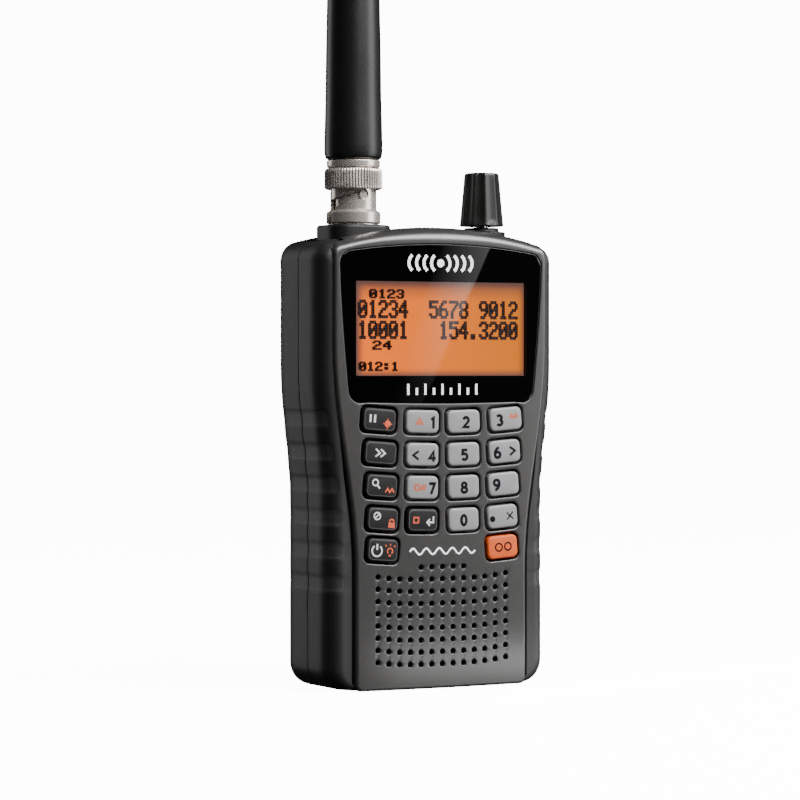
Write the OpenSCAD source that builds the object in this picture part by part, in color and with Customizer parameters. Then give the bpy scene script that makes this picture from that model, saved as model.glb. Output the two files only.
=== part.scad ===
// Hand-held radio scanner with a bayonet antenna, a membrane keypad and a spring belt clip.
// +Z is up, the front faces -Y, and the origin is on the ground plane under the middle of the case.

/* [Case] */
// Width of the case across the display
body_w = 67; // [66:0.5:68]
// Width of the case at the waist, where the hand closes round it
waist_w = 61.8; // [61:0.2:62.6]
// Height of the case at the middle of its arched top
body_h = 114.4; // [114:0.2:115]
// Depth from the front face to the back face
body_d = 33.6; // [33.4:0.2:34.2]
// Wall thickness of the housings
wall = 2; // [1.8:0.1:2.1]
// Radius of the arched top
crown_r = 112; // [108:1:120]

/* [Keypad] */
// Width of a key in the top row
key_w = 9.2; // [8.8:0.1:9.4]
// Height of a key
key_h = 5.7; // [5.4:0.1:5.8]
// Travel of a key
key_travel = 0.9; // [0.6:0.1:1]
// Height of a key above the front face
key_proud = 0.7; // [0.4:0.1:0.9]

/* [Display] */
// Width of the lit area of the display
lcd_w = 48; // [44:0.5:48.5]
// Height of the lit area of the display
lcd_h = 23.2; // [20:0.2:23.4]

/* [Speaker] */
// Diameter of the speaker
speaker_d = 27; // [24:0.5:27]
// Diameter of a hole in the grille
grille_d = 1.4; // [1:0.1:1.6]

/* [Antenna] */
// Length of the antenna from its coupling to its tip
antenna_len = 163; // [120:1:180]
// Diameter of the rubber cover at its widest
whip_d = 14.5; // [13.6:0.1:14.8]
// Diameter of the rubber cover below its rounded tip
tip_d = 9; // [7:0.5:11]

/* [Controls] */
// Diameter of the volume knob at its skirt
knob_d = 11.2; // [10.6:0.1:11.6]
// Height of the volume knob
knob_h = 13.5; // [11:0.5:15]
// Diameter of the bore of the earphone jack
phone_d = 3.6; // [3.5:0.1:3.7]

/* [Belt clip] */
// Length of the clip below its pin
clip_len = 45; // [38:1:48]
// Width of the clip
clip_w = 18; // [16:0.5:20]

/* [Hidden] */

$fn = 48;
eps = 0.01;
far = 60;

// Case: depths along Y
front_y = -16;
lip_y = -15;
back_y = front_y + body_d;
seam_y = -3.3;
seat_y = -14;
inner_y = -12;

// Case: front outline
base_z = 0.6;
foot_r = 7;
waist_z = 46;
shoulder_z = 80;
shoulder_r = 4.5;
crown_c = body_h - crown_r;
shoulder_x = body_w / 2 - shoulder_r;
shoulder_c = crown_c + sqrt(pow(crown_r - shoulder_r, 2) - pow(shoulder_x, 2));
shoulder_a = atan2(shoulder_c - crown_c, shoulder_x);

// Case: plan outline
side_rx = 4.1;
side_ry = 6;
back_rx = 15;
back_ry = 14;

// Front cover
panel_wide = 29.2;
panel_narrow = 24;
panel_z0 = 30;
panel_z1 = 85;
panel_base = 1.2;
panel_corner = 3;
cover_gap = 0.15;
wrap_y = -11;
top_x = 27;
top_y = 6;
top_t = 2.4;

// Finger recesses on both sides
grip_count = 6;
grip_z = 26.9;
grip_pitch = 8.05;
grip_h = 4.7;
grip_depth = 0.5;

// Display
window_top = 110.1;
window_side = 28.3;
window_low = 26;
window_base = 70.9;
window_r = 3.4;
window_t = 1;
window_y = front_y + 0.1;
tape_t = 0.3;
lcd_z = 89.2;
lcd_edge = 1.3;
lcd_open_w = lcd_w + 2 * lcd_edge + 0.4;
lcd_open_h = lcd_h + 2 * lcd_edge + 0.4;
lcd_back_y = -12.9;
light_back_y = -10.6;
board_y = -8.4;
board_t = 1.6;
board_z0 = 30.6;
board_z1 = 100;
board_x = 25;

// Keypad: four columns that lean in towards the waist and rise towards the sides
row_z = [66.3, 58.2, 50.1, 42, 34.4];
inner_x = 5.8;
outer_x = 17.8;
lean = 0.3;
arc_rise = 0.5;
inner_tilt = 1.5;
outer_tilt = 4.5;
key_r = 1.2;
key_gap = 0.55;
flange_grow = 0.85;
flange_t = 0.9;
flange_y = inner_y + 0.2;
membrane_y = flange_y + flange_t + key_travel + 0.3;
membrane_t = 0.8;

// Grille
grille_half = 6;
grille_rows = 8;
grille_pitch = 3;
grille_z = 6.4;
grille_rise = 0.93;
speaker_z = 16.5;
cone_y = inner_y + 0.3;

// Antenna
antenna_x = -18.25;
axis_y = -3.3;
pad_z = 114.85;
coupling_z = 115.25;
coupling_h = 13.65;
whip_z = 131;
lug_z = 122.3;
lug_r = 1;
ramp_turn = 90;
ramp_drop = 2.2;
ramp_steps = 12;
ramp_r = 1.3;
jack_r = 4.8;
bore_r = 4.9;
barrel_r = 5.7;
rim_r = 6.7;
knurl_r = 7.2;

// Controls
knob_x = 18.25;
knob_z = 115.3;
ring_r = 6;
neck_r = 4.35;
tube_r = 2.6;
shaft_r = 1.5;
fit = 0.05;
recess_z = 112.2;

// Battery bay and door
cell_d = 14.2;
cell_len = 50;
cell_x = 7.7;
cell_y = 8.1;
cell_z = 27;
door_x = 19;
door_z = 84;
door_t = 1.8;
rail = 1;
bay_x = 17;
bay_z0 = 24;
bay_z1 = 81;
bay_y = -0.6;
bay_wall = 1.2;

// Screws
screws = [[23.5, 12, 14], [28.4, 106, 11.4]];
screw_r = 1;
screw_head_r = 1.9;
boss_r = 2.2;

// Belt clip
clip_z = 97;
clip_y = back_y + 5.8;
clip_pin_r = 1;
clip_barrel_r = 2.2;
clip_t = 2;
bracket_w = 24;
bracket_h = 22;
bracket_z = 96;
bracket_screw_z = [88.5, 103.5];
arm_y = back_y + 6;

function ease(t) = let (s = min(1, max(0, t))) s * s * (3 - 2 * s);
function side_x(z) = (waist_w + (body_w - waist_w) * ease((z - waist_z) / (shoulder_z - waist_z))) / 2;
function panel_x(z) =
    panel_narrow + (panel_wide - panel_narrow) * ease((z - panel_z0) / (panel_z1 - panel_z0));
function crown(x, g) = crown_c + sqrt(pow(crown_r - g, 2) - x * x);
function arc(cx, cy, rx, ry, a0, a1, n) =
    [for (i = [0:n]) let (a = a0 + (a1 - a0) * i / n) [cx + rx * cos(a), cy + ry * sin(a)]];
function flip(pts) = [for (i = [len(pts) - 1:-1:0]) [-pts[i][0], pts[i][1]]];
function span(a, b, n) = [for (i = [0:n]) a + (b - a) * i / n];

// Front view of the case, drawn in by g
function case_right(g) = concat(
    arc(side_x(0) - foot_r, base_z + foot_r, foot_r - g, foot_r - g, -90, 0, 6),
    [for (z = span(20, 100, 10)) [side_x(z) - g, z]],
    arc(shoulder_x, shoulder_c, shoulder_r - g, shoulder_r - g, 0, shoulder_a - 8, 4));
function case_outline(g) = concat(case_right(g),
    arc(0, crown_c, crown_r - g, crown_r - g, shoulder_a, 180 - shoulder_a, 14), flip(case_right(g)));

// Plan view of the case, drawn in by g
function plan_right(g) = concat(
    arc(body_w / 2 - side_rx, lip_y + side_ry, side_rx - g, side_ry - g, -90, 0, 6),
    arc(body_w / 2 - back_rx, back_y - back_ry, back_rx - g, back_ry - g, 0, 90, 10));
function plan_outline(g) = concat(plan_right(g), flip(plan_right(g)));

// Side view of the case, drawn in by g
function side_outline(front, g) = concat(
    arc(front + 3, base_z + 3, 3 - g, 3 - g, 180, 270, 4),
    arc(back_y - 6, base_z + 6, 6 - g, 6 - g, 270, 360, 5),
    arc(back_y - 6, body_h - 6, 6 - g, 6 - g, 0, 90, 5),
    arc(front + 4.5, body_h - 4.5, 4.5 - g, 4.5 - g, 90, 180, 5));

// Front cover, grown by g
function panel_right(g) = concat(
    arc(panel_narrow - panel_corner, panel_base + panel_corner, panel_corner + g, panel_corner + g,
        -80, 0, 4),
    [for (z = span(panel_z0, 100, 8)) [panel_x(z) + g, z]],
    [[panel_wide + g, crown(panel_wide, 0.8)]]);
function panel_outline(g) = concat(panel_right(g),
    arc(0, crown_c, crown_r + g, crown_r + g, 76, 104, 10), flip(panel_right(g)),
    [[0, panel_base - 0.6 - g]]);

// Display window, drawn in by g
function window_outline(g) = let (right = concat(
    arc(window_low - window_r, window_base + window_r, window_r - g, window_r - g, -80, -5, 4),
    arc(window_side - window_r, window_top - 5.2, window_r - g, window_r - g, 0, 75, 4)))
    concat(right, arc(0, window_top - crown_r, crown_r - g, crown_r - g, 80, 100, 8), flip(right));

// Extrudes a front view from y0 back to y1
module deep(y0, y1) {
    translate([0, y1, 0]) rotate([90, 0, 0]) linear_extrude(y1 - y0) children();
}

module slab(y0, y1) {
    translate([-far, y0, -far]) cube([2 * far, y1 - y0, 5 * far]);
}

// The outer form of the case, drawn in by g
module form(g) {
    intersection() {
        translate([0, 0, -1]) linear_extrude(body_h + 2) polygon(plan_outline(g));
        deep(-far / 2, far / 2) polygon(case_outline(g));
        rotate([90, 0, 90]) translate([0, 0, -far]) linear_extrude(2 * far)
            polygon(side_outline(lip_y, g));
    }
}

// A strip along the arched top, between two depths below it
module crown_band(half_w, deepest, shallowest) {
    a = acos(half_w / crown_r);
    polygon(concat(arc(0, crown_c, crown_r - shallowest, crown_r - shallowest, a, 180 - a, 12),
        arc(0, crown_c, crown_r - deepest, crown_r - deepest, 180 - a, a, 12)));
}

module rounded(w, h, r) {
    square([w - 2 * r, h], center = true);
    square([w, h - 2 * r], center = true);
    for (x = [-1, 1], z = [-1, 1]) translate([x * (w / 2 - r), z * (h / 2 - r)]) circle(r);
}

// Keys: column 0 to 3 from the left, row 0 to 4 from the top
function key_outer(col) = col == 0 || col == 3;
function key_side(col) = col < 2 ? -1 : 1;
function key_cx(col, row) = key_side(col) * (key_outer(col) ? outer_x - lean * min(row, 3) : inner_x);
function key_cz(col, row) = row_z[row] + (key_outer(col) ? arc_rise : 0);
function key_tilt(col) = key_side(col) * (key_outer(col) ? outer_tilt : inner_tilt);
function key_width(row) = key_w - 0.2 * min(row, 3);
key_places = concat([for (col = [0:3], row = [0:3]) [col, row]], [[0, 4], [3, 4]]);

module at_key(col, row) {
    translate([key_cx(col, row), key_cz(col, row)]) rotate(key_tilt(col)) children();
}

module key(col, row) {
    deep(front_y - key_proud, flange_y + eps) at_key(col, row) rounded(key_width(row), key_h, key_r);
    deep(flange_y, flange_y + flange_t) at_key(col, row)
        rounded(key_width(row) + 2 * flange_grow, key_h + 2 * flange_grow, key_r);
}

module key_openings() {
    for (p = key_places) at_key(p[0], p[1])
        rounded(key_width(p[1]) + 2 * key_gap, key_h + 2 * key_gap, key_r + key_gap / 2);
}

module grille() {
    for (row = [0:grille_rows - 1], k = [-grille_half:grille_half])
        translate([k * grille_pitch,
            grille_z + row * grille_pitch + grille_rise * pow(abs(k) / grille_half, 3.4)])
            circle(d = grille_d);
    for (k = [-2:2]) translate([k * grille_pitch, grille_z + grille_rows * grille_pitch])
        circle(d = grille_d);
}

// The four case screws: each pair has its X, its Z and the depth of its head
module at_screws(at_head = false) {
    for (side = [-1, 1], s = screws) translate([side * s[0], at_head ? s[2] : 0, s[1]])
        rotate([-90, 0, 0]) children();
}

module at_clip_screws() {
    for (z = bracket_screw_z) translate([0, 0, z]) rotate([-90, 0, 0]) children();
}

module fascia() {
    color([0.36, 0.35, 0.34]) difference() {
        intersection() {
            union() {
                deep(front_y, seat_y - 0.1) polygon(panel_outline(0));
                deep(front_y, wrap_y - 0.1) crown_band(top_x, top_t - 0.1, 0);
            }
            rotate([90, 0, 90]) translate([0, 0, -far]) linear_extrude(2 * far)
                polygon(side_outline(front_y, 0));
        }
        deep(front_y - 1, front_y + window_t + tape_t + 0.1) polygon(window_outline(-0.1));
        deep(front_y - 1, 0) translate([0, lcd_z]) square([lcd_open_w, lcd_open_h], center = true);
        deep(front_y - 1, 0) key_openings();
        deep(front_y - 1, 0) grille();
    }
}

module front_housing() {
    color([0.16, 0.16, 0.16]) difference() {
        union() {
            difference() {
                intersection() {
                    form(0);
                    slab(-far, seam_y);
                }
                intersection() {
                    form(wall);
                    slab(inner_y, far);
                }
            }
            intersection() {
                form(0.5);
                at_screws() translate([0, 0, inner_y - eps]) cylinder(r = boss_r, h = seam_y - inner_y);
            }
        }
        deep(-far, seat_y) polygon(panel_outline(cover_gap));
        deep(-far, seam_y + 1) crown_band(top_x + 0.1, top_t, -10);
        deep(-far, inner_y + 1) translate([0, lcd_z]) square([lcd_open_w, lcd_open_h], center = true);
        deep(-far, inner_y + 1) key_openings();
        deep(-far, inner_y + 0.5) translate([0, grille_z + 11.2]) rounded(40, 26.5, 6);
        translate([body_w / 2 - 10, -8.7, 85.7]) cube([20, 4.5, 8.3]);
        at_screws() translate([0, 0, inner_y + 1.5]) cylinder(r = screw_r + 0.02, h = 20);
        grips();
    }
}

module grips() {
    for (i = [0:grip_count - 1], s = [-1, 1]) {
        z = grip_z + i * grip_pitch;
        translate([s * (side_x(z) - grip_depth + far / 2), -1, z]) cube([far, 24, grip_h], center = true);
    }
}

module rear_housing() {
    color([0.16, 0.16, 0.16]) difference() {
        union() {
            difference() {
                intersection() {
                    form(0);
                    slab(seam_y, far);
                }
                form(wall);
            }
            intersection() {
                form(0.5);
                at_screws() translate([0, 0, seam_y]) cylinder(r = boss_r, h = 30);
            }
            intersection() {
                form(0.5);
                translate([-bay_x - bay_wall, bay_y, bay_z0 - bay_wall])
                    cube([2 * (bay_x + bay_wall), far, bay_z1 - bay_z0 + 2 * bay_wall]);
            }
            intersection() {
                form(0.5);
                translate([-door_x - 2.5, back_y - door_t - 2, -1]) cube([2 * door_x + 5, 2, door_z + 3]);
            }
        }
        translate([-bay_x, bay_y + bay_wall, bay_z0]) cube([2 * bay_x, far, bay_z1 - bay_z0]);
        translate([-door_x - 0.2, back_y - door_t - 0.2, -far])
            cube([2 * door_x + 0.4, far, door_z + far + 0.2]);
        translate([-door_x - rail - 0.3, back_y - door_t - 0.2, -far])
            cube([2 * (door_x + rail + 0.3), rail + 0.4, door_z + far + 0.2]);
        deep(seam_y - 1, top_y + 0.1) crown_band(top_x + 0.1, top_t, -10);
        at_screws() translate([0, 0, seam_y - 1]) cylinder(r = screw_r + 0.2, h = 40);
        at_screws(true) cylinder(r = screw_head_r + 0.2, h = 20);
        at_clip_screws() translate([0, 0, back_y - 5]) cylinder(r = screw_r + 0.05, h = 20);
        grips();
    }
}

module top_panel() {
    color([0.1, 0.1, 0.1]) difference() {
        union() {
            deep(wrap_y, top_y) crown_band(top_x, top_t - 0.1, 0.3);
            translate([antenna_x, axis_y, pad_z - 4]) linear_extrude(4) rounded(16.8, 14.8, 5);
            translate([knob_x, axis_y, recess_z - 2]) cylinder(r = ring_r + 1.2, h = 2);
        }
        translate([antenna_x, axis_y, 100]) cylinder(r = 4.7, h = 30);
        translate([knob_x, axis_y, 100]) cylinder(r = 3.7, h = 30);
        translate([knob_x, axis_y, recess_z]) cylinder(r = ring_r + 0.8, h = 30);
        translate([0, axis_y, 100]) cylinder(r = 3, h = 30);
    }
}

module foot_pads() {
    color([0.08, 0.08, 0.08]) {
        translate([0, -8.3, 0]) linear_extrude(base_z) rounded(39, 7, 2);
        translate([0, 4.2, 0]) linear_extrude(base_z) rounded(39, 12, 2);
    }
}

module display_window() {
    color([0.03, 0.03, 0.03, 0.6]) deep(window_y, window_y + window_t) polygon(window_outline(0.05));
}

module window_tape() {
    color([0.02, 0.02, 0.02]) deep(window_y + window_t, window_y + window_t + tape_t) difference() {
        polygon(window_outline(0.3));
        translate([0, lcd_z]) square([lcd_w, lcd_h], center = true);
    }
}

module lcd_panel() {
    color([0.95, 0.55, 0.2]) deep(window_y + window_t + tape_t, lcd_back_y) translate([0, lcd_z])
        square([lcd_w + 2 * lcd_edge, lcd_h + 2 * lcd_edge], center = true);
}

module lcd_backlight() {
    color([0.9, 0.9, 0.85]) deep(lcd_back_y, light_back_y) translate([0, lcd_z])
        square([lcd_w + 2 * lcd_edge, lcd_h + 2 * lcd_edge], center = true);
}

module lcd_holder() {
    color([0.7, 0.7, 0.68]) {
        deep(inner_y, board_y) translate([0, lcd_z]) difference() {
            rounded(lcd_open_w + 3.4, lcd_open_h + 3, 1);
            square([lcd_open_w, lcd_open_h], center = true);
        }
        deep(light_back_y + 0.1, light_back_y + 0.9) translate([0, lcd_z])
            square([lcd_open_w + 1, lcd_open_h + 1], center = true);
    }
}

module keypad_membrane() {
    color([0.3, 0.3, 0.3]) deep(membrane_y, membrane_y + membrane_t) translate([0, 50.2])
        rounded(46, 39, 3);
}

module key_domes() {
    color([0.8, 0.8, 0.78]) deep(board_y - 0.4, board_y) for (p = key_places)
        at_key(p[0], p[1]) circle(d = 4);
}

module main_board() {
    color([0.1, 0.35, 0.18]) difference() {
        translate([-board_x, board_y, board_z0]) cube([2 * board_x, board_t, board_z1 - board_z0]);
        for (x = [-1, 1], z = [33, 97]) translate([x * 21.5, board_y - 1, z])
            rotate([-90, 0, 0]) cylinder(r = 1.1, h = 4);
    }
}

module rf_shield() {
    color([0.78, 0.78, 0.76]) translate([-20, board_y + board_t, 62]) difference() {
        cube([30, 4.2, 34]);
        translate([0.3, -1, 0.3]) cube([29.4, 4.9, 33.4]);
    }
}

module speaker_cloth() {
    color([0.05, 0.05, 0.05]) deep(inner_y, cone_y) translate([0, grille_z + 10.8]) rounded(42, 26.5, 6);
}

module speaker_basket() {
    color([0.6, 0.6, 0.6]) translate([0, cone_y, speaker_z]) rotate([-90, 0, 0]) rotate_extrude()
        polygon([[speaker_d / 2 - 2, 0], [speaker_d / 2, 0], [speaker_d / 2, 1.6], [9, 4.6], [6.5, 4.6],
            [6.5, 3.9], [8.6, 3.9], [speaker_d / 2 - 2, 1.2]]);
}

module speaker_cone() {
    color([0.15, 0.14, 0.13]) translate([0, cone_y, speaker_z]) rotate([-90, 0, 0]) rotate_extrude()
        polygon([[0, 2.2], [3.4, 3], [speaker_d / 2 - 2.1, 0.3], [speaker_d / 2 - 2.1, 0.6], [3.4, 3.4],
            [0, 2.6]]);
}

module speaker_magnet() {
    color([0.3, 0.3, 0.32]) deep(cone_y + 4.7, cone_y + 8.2) translate([0, speaker_z]) circle(r = 7);
}

module antenna_jack() {
    color([0.82, 0.8, 0.76]) translate([antenna_x, axis_y, 0]) {
        rotate_extrude() polygon([[2.4, 104], [4.6, 104], [4.6, pad_z], [6.4, pad_z], [6.4, pad_z + 0.2],
            [jack_r, pad_z + 0.2], [jack_r, 123.8], [4.2, 123.8], [4.2, 117], [2.4, 117]]);
        for (a = [90, 270]) rotate([0, 0, a]) translate([4.5, 0, lug_z]) rotate([0, 90, 0])
            cylinder(r = lug_r, h = 0.95);
    }
}

module antenna_jack_nut() {
    color([0.75, 0.74, 0.7]) translate([antenna_x, axis_y, 106.2]) difference() {
        cylinder(r = 6.8, h = 2.2, $fn = 6);
        translate([0, 0, -1]) cylinder(r = 4.65, h = 5);
    }
}

module jack_insulator() {
    color([0.95, 0.95, 0.92]) translate([antenna_x, axis_y, 105]) difference() {
        cylinder(r = 2.35, h = 17);
        translate([0, 0, -1]) cylinder(r = 1.15, h = 20);
    }
}

module jack_contact() {
    color([0.85, 0.7, 0.35]) translate([antenna_x, axis_y, 102]) difference() {
        cylinder(r = 1.1, h = 19.5);
        translate([0, 0, 10]) cylinder(r = 0.75, h = 20);
    }
}

module ramp() {
    for (i = [0:ramp_steps]) rotate([0, 0, -90 - ramp_turn * i / ramp_steps])
        translate([bore_r - 0.5, 0, lug_z - ramp_drop * i / ramp_steps]) rotate([0, 90, 0])
            cylinder(r = ramp_r, h = 2);
    rotate([0, 0, -90 - ramp_turn]) translate([0, -ramp_r, coupling_z - 1])
        cube([barrel_r + 0.05, 2 * ramp_r, lug_z - ramp_drop - coupling_z + 1]);
}

module antenna_coupling() {
    top = coupling_z + coupling_h;
    color([0.84, 0.81, 0.77]) translate([antenna_x, axis_y, 0]) difference() {
        rotate_extrude() polygon([[bore_r, coupling_z], [rim_r, coupling_z], [rim_r, 118.2],
            [barrel_r, 118.4], [barrel_r, 123.8], [knurl_r - 0.4, 124], [knurl_r, 124.4],
            [knurl_r, top - 0.4], [knurl_r - 0.4, top], [4.35, top], [4.35, 124.6], [bore_r, 124.6]]);
        ramp();
        rotate([0, 0, 180]) ramp();
    }
}

module antenna_plug_body() {
    color([0.84, 0.81, 0.77]) translate([antenna_x, axis_y, 0]) rotate_extrude()
        polygon([[3.4, 118], [4.1, 118], [4.1, 124], [4.7, 124], [4.7, 124.4], [4.25, 124.4], [4.25, 129.1],
            [6.6, 129.1], [6.6, whip_z], [2.5, whip_z], [2.5, whip_z + 6], [0, whip_z + 6], [0, 127],
            [0.7, 127], [0.7, 124], [3.4, 124]]);
}

module antenna_center_pin() {
    color([0.85, 0.7, 0.35]) translate([antenna_x, axis_y, 113.5]) cylinder(r = 0.65, h = 13.4);
}

module antenna_whip() {
    tip_z = coupling_z + antenna_len;
    color([0.07, 0.07, 0.07]) translate([antenna_x, axis_y, 0]) rotate_extrude() polygon(concat(
        [[2.55, whip_z], [whip_d / 2 - 0.6, whip_z], [whip_d / 2 - 0.1, whip_z + 1.2],
            [whip_d / 2, whip_z + 3],
            [whip_d / 2 - 0.2, whip_z + 14]],
        arc(0, tip_z - tip_d / 2, tip_d / 2, tip_d / 2, 0, 90, 8),
        [[0, whip_z + 6.1], [2.55, whip_z + 6.1]]));
}

module volume_knob() {
    color([0.05, 0.05, 0.05]) translate([knob_x, axis_y, knob_z]) difference() {
        cylinder(r1 = knob_d / 2, r2 = knob_d / 2 - 1.2, h = knob_h);
        translate([0, 0, -1]) cylinder(r = shaft_r + 0.02, h = knob_h - 1.5);
        translate([0, 0, -1]) cylinder(r = 3.2, h = 3);
    }
}

module volume_shaft() {
    color([0.8, 0.8, 0.8]) translate([knob_x, axis_y, 102]) cylinder(r = shaft_r, h = 24);
}

module squelch_knob() {
    color([0.06, 0.06, 0.06]) translate([knob_x, axis_y, 0]) difference() {
        union() {
            translate([0, 0, recess_z + 0.3]) cylinder(r = ring_r, h = 1.4);
            translate([0, 0, recess_z + 0.3]) cylinder(r = neck_r, h = 2.5);
            translate([ring_r - 1.2, -0.7, recess_z + 0.3]) cube([1.6 - 0.1, 1.4, 1.4]);
        }
        translate([0, 0, 100]) cylinder(r = tube_r + 0.02, h = 14.2);
        translate([0, 0, 100]) cylinder(r = shaft_r + 0.15, h = 20);
    }
}

module squelch_shaft() {
    color([0.8, 0.8, 0.8]) translate([knob_x, axis_y, 104]) difference() {
        cylinder(r = tube_r, h = 10.1);
        translate([0, 0, -1]) cylinder(r = shaft_r + fit, h = 20);
    }
}

module control_body() {
    color([0.25, 0.3, 0.28]) translate([knob_x, axis_y, 0]) difference() {
        union() {
            translate([-5.5, -4.8, 100.5]) cube([11, 10, 6.5]);
            translate([0, 0, 107 - eps]) cylinder(r = 3.6, h = 4.9);
        }
        translate([0, 0, 103.9]) cylinder(r = tube_r + fit, h = 20);
        translate([0, 0, 101.9]) cylinder(r = shaft_r + fit, h = 20);
    }
}

module earphone_jack() {
    color([0.12, 0.12, 0.12]) translate([0, axis_y, 0]) difference() {
        union() {
            translate([-3.5, -3, 99]) cube([7, 6.5, 12.5]);
            translate([0, 0, 111]) cylinder(r = 2.9, h = 3.1);
        }
        translate([0, 0, 100.5]) cylinder(d = phone_d, h = 20);
    }
}

module usb_socket() {
    color([0.8, 0.8, 0.78]) translate([board_x + 0.3, -8.4, 86]) difference() {
        cube([body_w / 2 - board_x - 0.6, 3.9, 7.7]);
        translate([1, 0.4, 0.4]) cube([20, 3.1, 6.9]);
    }
    color([0.1, 0.1, 0.1]) translate([board_x + 1, -7, 87.4]) cube([6, 1.1, 4.9]);
}

module battery_door() {
    color([0.15, 0.15, 0.15]) intersection() {
        form(0);
        union() {
            translate([-door_x, back_y - door_t, -1]) cube([2 * door_x, far, door_z + 1]);
            translate([-door_x - rail, back_y - door_t, -1]) cube([2 * (door_x + rail), rail, door_z + 1]);
        }
    }
}

module battery_cells() {
    color([0.7, 0.55, 0.2]) for (s = [-1, 1]) translate([s * cell_x, cell_y, cell_z]) {
        cylinder(d = cell_d, h = cell_len - 1);
        translate([0, 0, s > 0 ? -1 : cell_len - 1 - eps]) cylinder(d = 5.5, h = 1 + eps);
    }
}

module battery_contacts() {
    color([0.8, 0.78, 0.7]) for (s = [-1, 1]) translate([s * cell_x, cell_y, 0]) {
        translate([-5.5, -5.5, bay_z1 - 0.5]) cube([11, 11, 0.4]);
        translate([-5.5, -5.5, bay_z0 + 0.1]) cube([11, 11, 0.4]);
        for (i = [0:2]) translate([0, 0, s > 0 ? bay_z1 - 1.2 - 1.1 * i : bay_z0 + 0.7 + 0.6 * i])
            rotate_extrude() translate([3.4 - 0.6 * i, 0]) circle(r = 0.2);
    }
}

module case_screws() {
    color([0.5, 0.5, 0.5]) {
        at_screws(true) {
            translate([0, 0, -20]) cylinder(r = screw_r, h = 20);
            difference() {
                cylinder(r = screw_head_r, h = 1.4);
                translate([-1.3, -0.3, 0.9]) cube([2.6, 0.6, 1]);
                translate([-0.3, -1.3, 0.9]) cube([0.6, 2.6, 1]);
            }
        }
        at_clip_screws() {
            translate([0, 0, back_y - 4]) cylinder(r = screw_r, h = 6);
            translate([0, 0, back_y + 2]) cylinder(r = screw_head_r, h = 1.2);
        }
    }
}

module clip_mount() {
    color([0.12, 0.12, 0.12]) difference() {
        union() {
            deep(back_y, back_y + 2) translate([0, bracket_z]) rounded(bracket_w, bracket_h, 3);
            for (s = [-1, 1]) translate([s * (bracket_w / 2 - 1.1) - 1.1, 0, 0]) {
                translate([0, clip_y, clip_z]) rotate([0, 90, 0]) cylinder(r = clip_barrel_r, h = 2.2);
                translate([0, back_y + 1, clip_z - clip_barrel_r])
                    cube([2.2, clip_y - back_y - 1, 2 * clip_barrel_r]);
            }
        }
        translate([-far, clip_y, clip_z]) rotate([0, 90, 0]) cylinder(r = clip_pin_r + 0.02, h = 2 * far);
        at_clip_screws() translate([0, 0, back_y - 1]) cylinder(r = screw_r + 0.1, h = 10);
    }
}

module clip_pin() {
    color([0.7, 0.7, 0.7]) translate([-bracket_w / 2, clip_y, clip_z]) rotate([0, 90, 0])
        cylinder(r = clip_pin_r, h = bracket_w);
}

module clip_spring() {
    color([0.75, 0.75, 0.75]) {
        for (i = [-2:2]) translate([0.8 * i, clip_y, clip_z]) rotate([0, 90, 0]) rotate_extrude()
            translate([1.55, 0]) circle(r = 0.3);
        for (s = [-1, 1]) translate([1.6 * s, clip_y - 2.25, clip_z - 7]) cylinder(r = 0.3, h = 7);
    }
}

module belt_clip() {
    slot_w = 5.2;
    color([0.12, 0.12, 0.12]) difference() {
        union() {
            translate([-clip_w / 2, arm_y, clip_z - clip_len]) cube([clip_w, clip_t, clip_len + 9]);
            translate([-clip_w / 2, clip_y, clip_z]) rotate([0, 90, 0])
                cylinder(r = clip_barrel_r, h = clip_w);
            translate([-clip_w / 2, back_y + 0.8, clip_z - clip_len]) cube([clip_w, arm_y - back_y, 2.4]);
        }
        translate([-far, clip_y, clip_z]) rotate([0, 90, 0]) cylinder(r = clip_pin_r + 0.05, h = 2 * far);
        translate([-slot_w / 2, clip_y - 4, clip_z - 8]) cube([slot_w, 6.2, 11]);
    }
}

fascia();
front_housing();
rear_housing();
top_panel();
foot_pads();
display_window();
window_tape();
lcd_panel();
lcd_backlight();
lcd_holder();
keypad_membrane();
color([0.14, 0.14, 0.14]) key(0, 0);  // key_hold
color([0.14, 0.14, 0.14]) key(0, 1);  // key_scan
color([0.14, 0.14, 0.14]) key(0, 2);  // key_search
color([0.14, 0.14, 0.14]) key(0, 3);  // key_lockout
color([0.14, 0.14, 0.14]) key(0, 4);  // key_power
color([0.78, 0.79, 0.8]) key(1, 0);  // key_1
color([0.78, 0.79, 0.8]) key(1, 1);  // key_4
color([0.78, 0.79, 0.8]) key(1, 2);  // key_7
color([0.14, 0.14, 0.14]) key(1, 3);  // key_enter
color([0.78, 0.79, 0.8]) key(2, 0);  // key_2
color([0.78, 0.79, 0.8]) key(2, 1);  // key_5
color([0.78, 0.79, 0.8]) key(2, 2);  // key_8
color([0.78, 0.79, 0.8]) key(2, 3);  // key_0
color([0.78, 0.79, 0.8]) key(3, 0);  // key_3
color([0.78, 0.79, 0.8]) key(3, 1);  // key_6
color([0.78, 0.79, 0.8]) key(3, 2);  // key_9
color([0.78, 0.79, 0.8]) key(3, 3);  // key_clear
color([0.95, 0.48, 0.15]) key(3, 4);  // key_func
key_domes();
main_board();
rf_shield();
speaker_basket();
speaker_cone();
speaker_magnet();
speaker_cloth();
antenna_jack();
antenna_jack_nut();
jack_insulator();
jack_contact();
antenna_coupling();
antenna_plug_body();
antenna_center_pin();
antenna_whip();
volume_knob();
volume_shaft();
squelch_knob();
squelch_shaft();
control_body();
earphone_jack();
usb_socket();
battery_door();
battery_cells();
battery_contacts();
case_screws();
clip_mount();
clip_pin();
clip_spring();
belt_clip();
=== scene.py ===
import math

import bmesh
import bpy
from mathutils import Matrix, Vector
from mathutils.geometry import delaunay_2d_cdt


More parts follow.
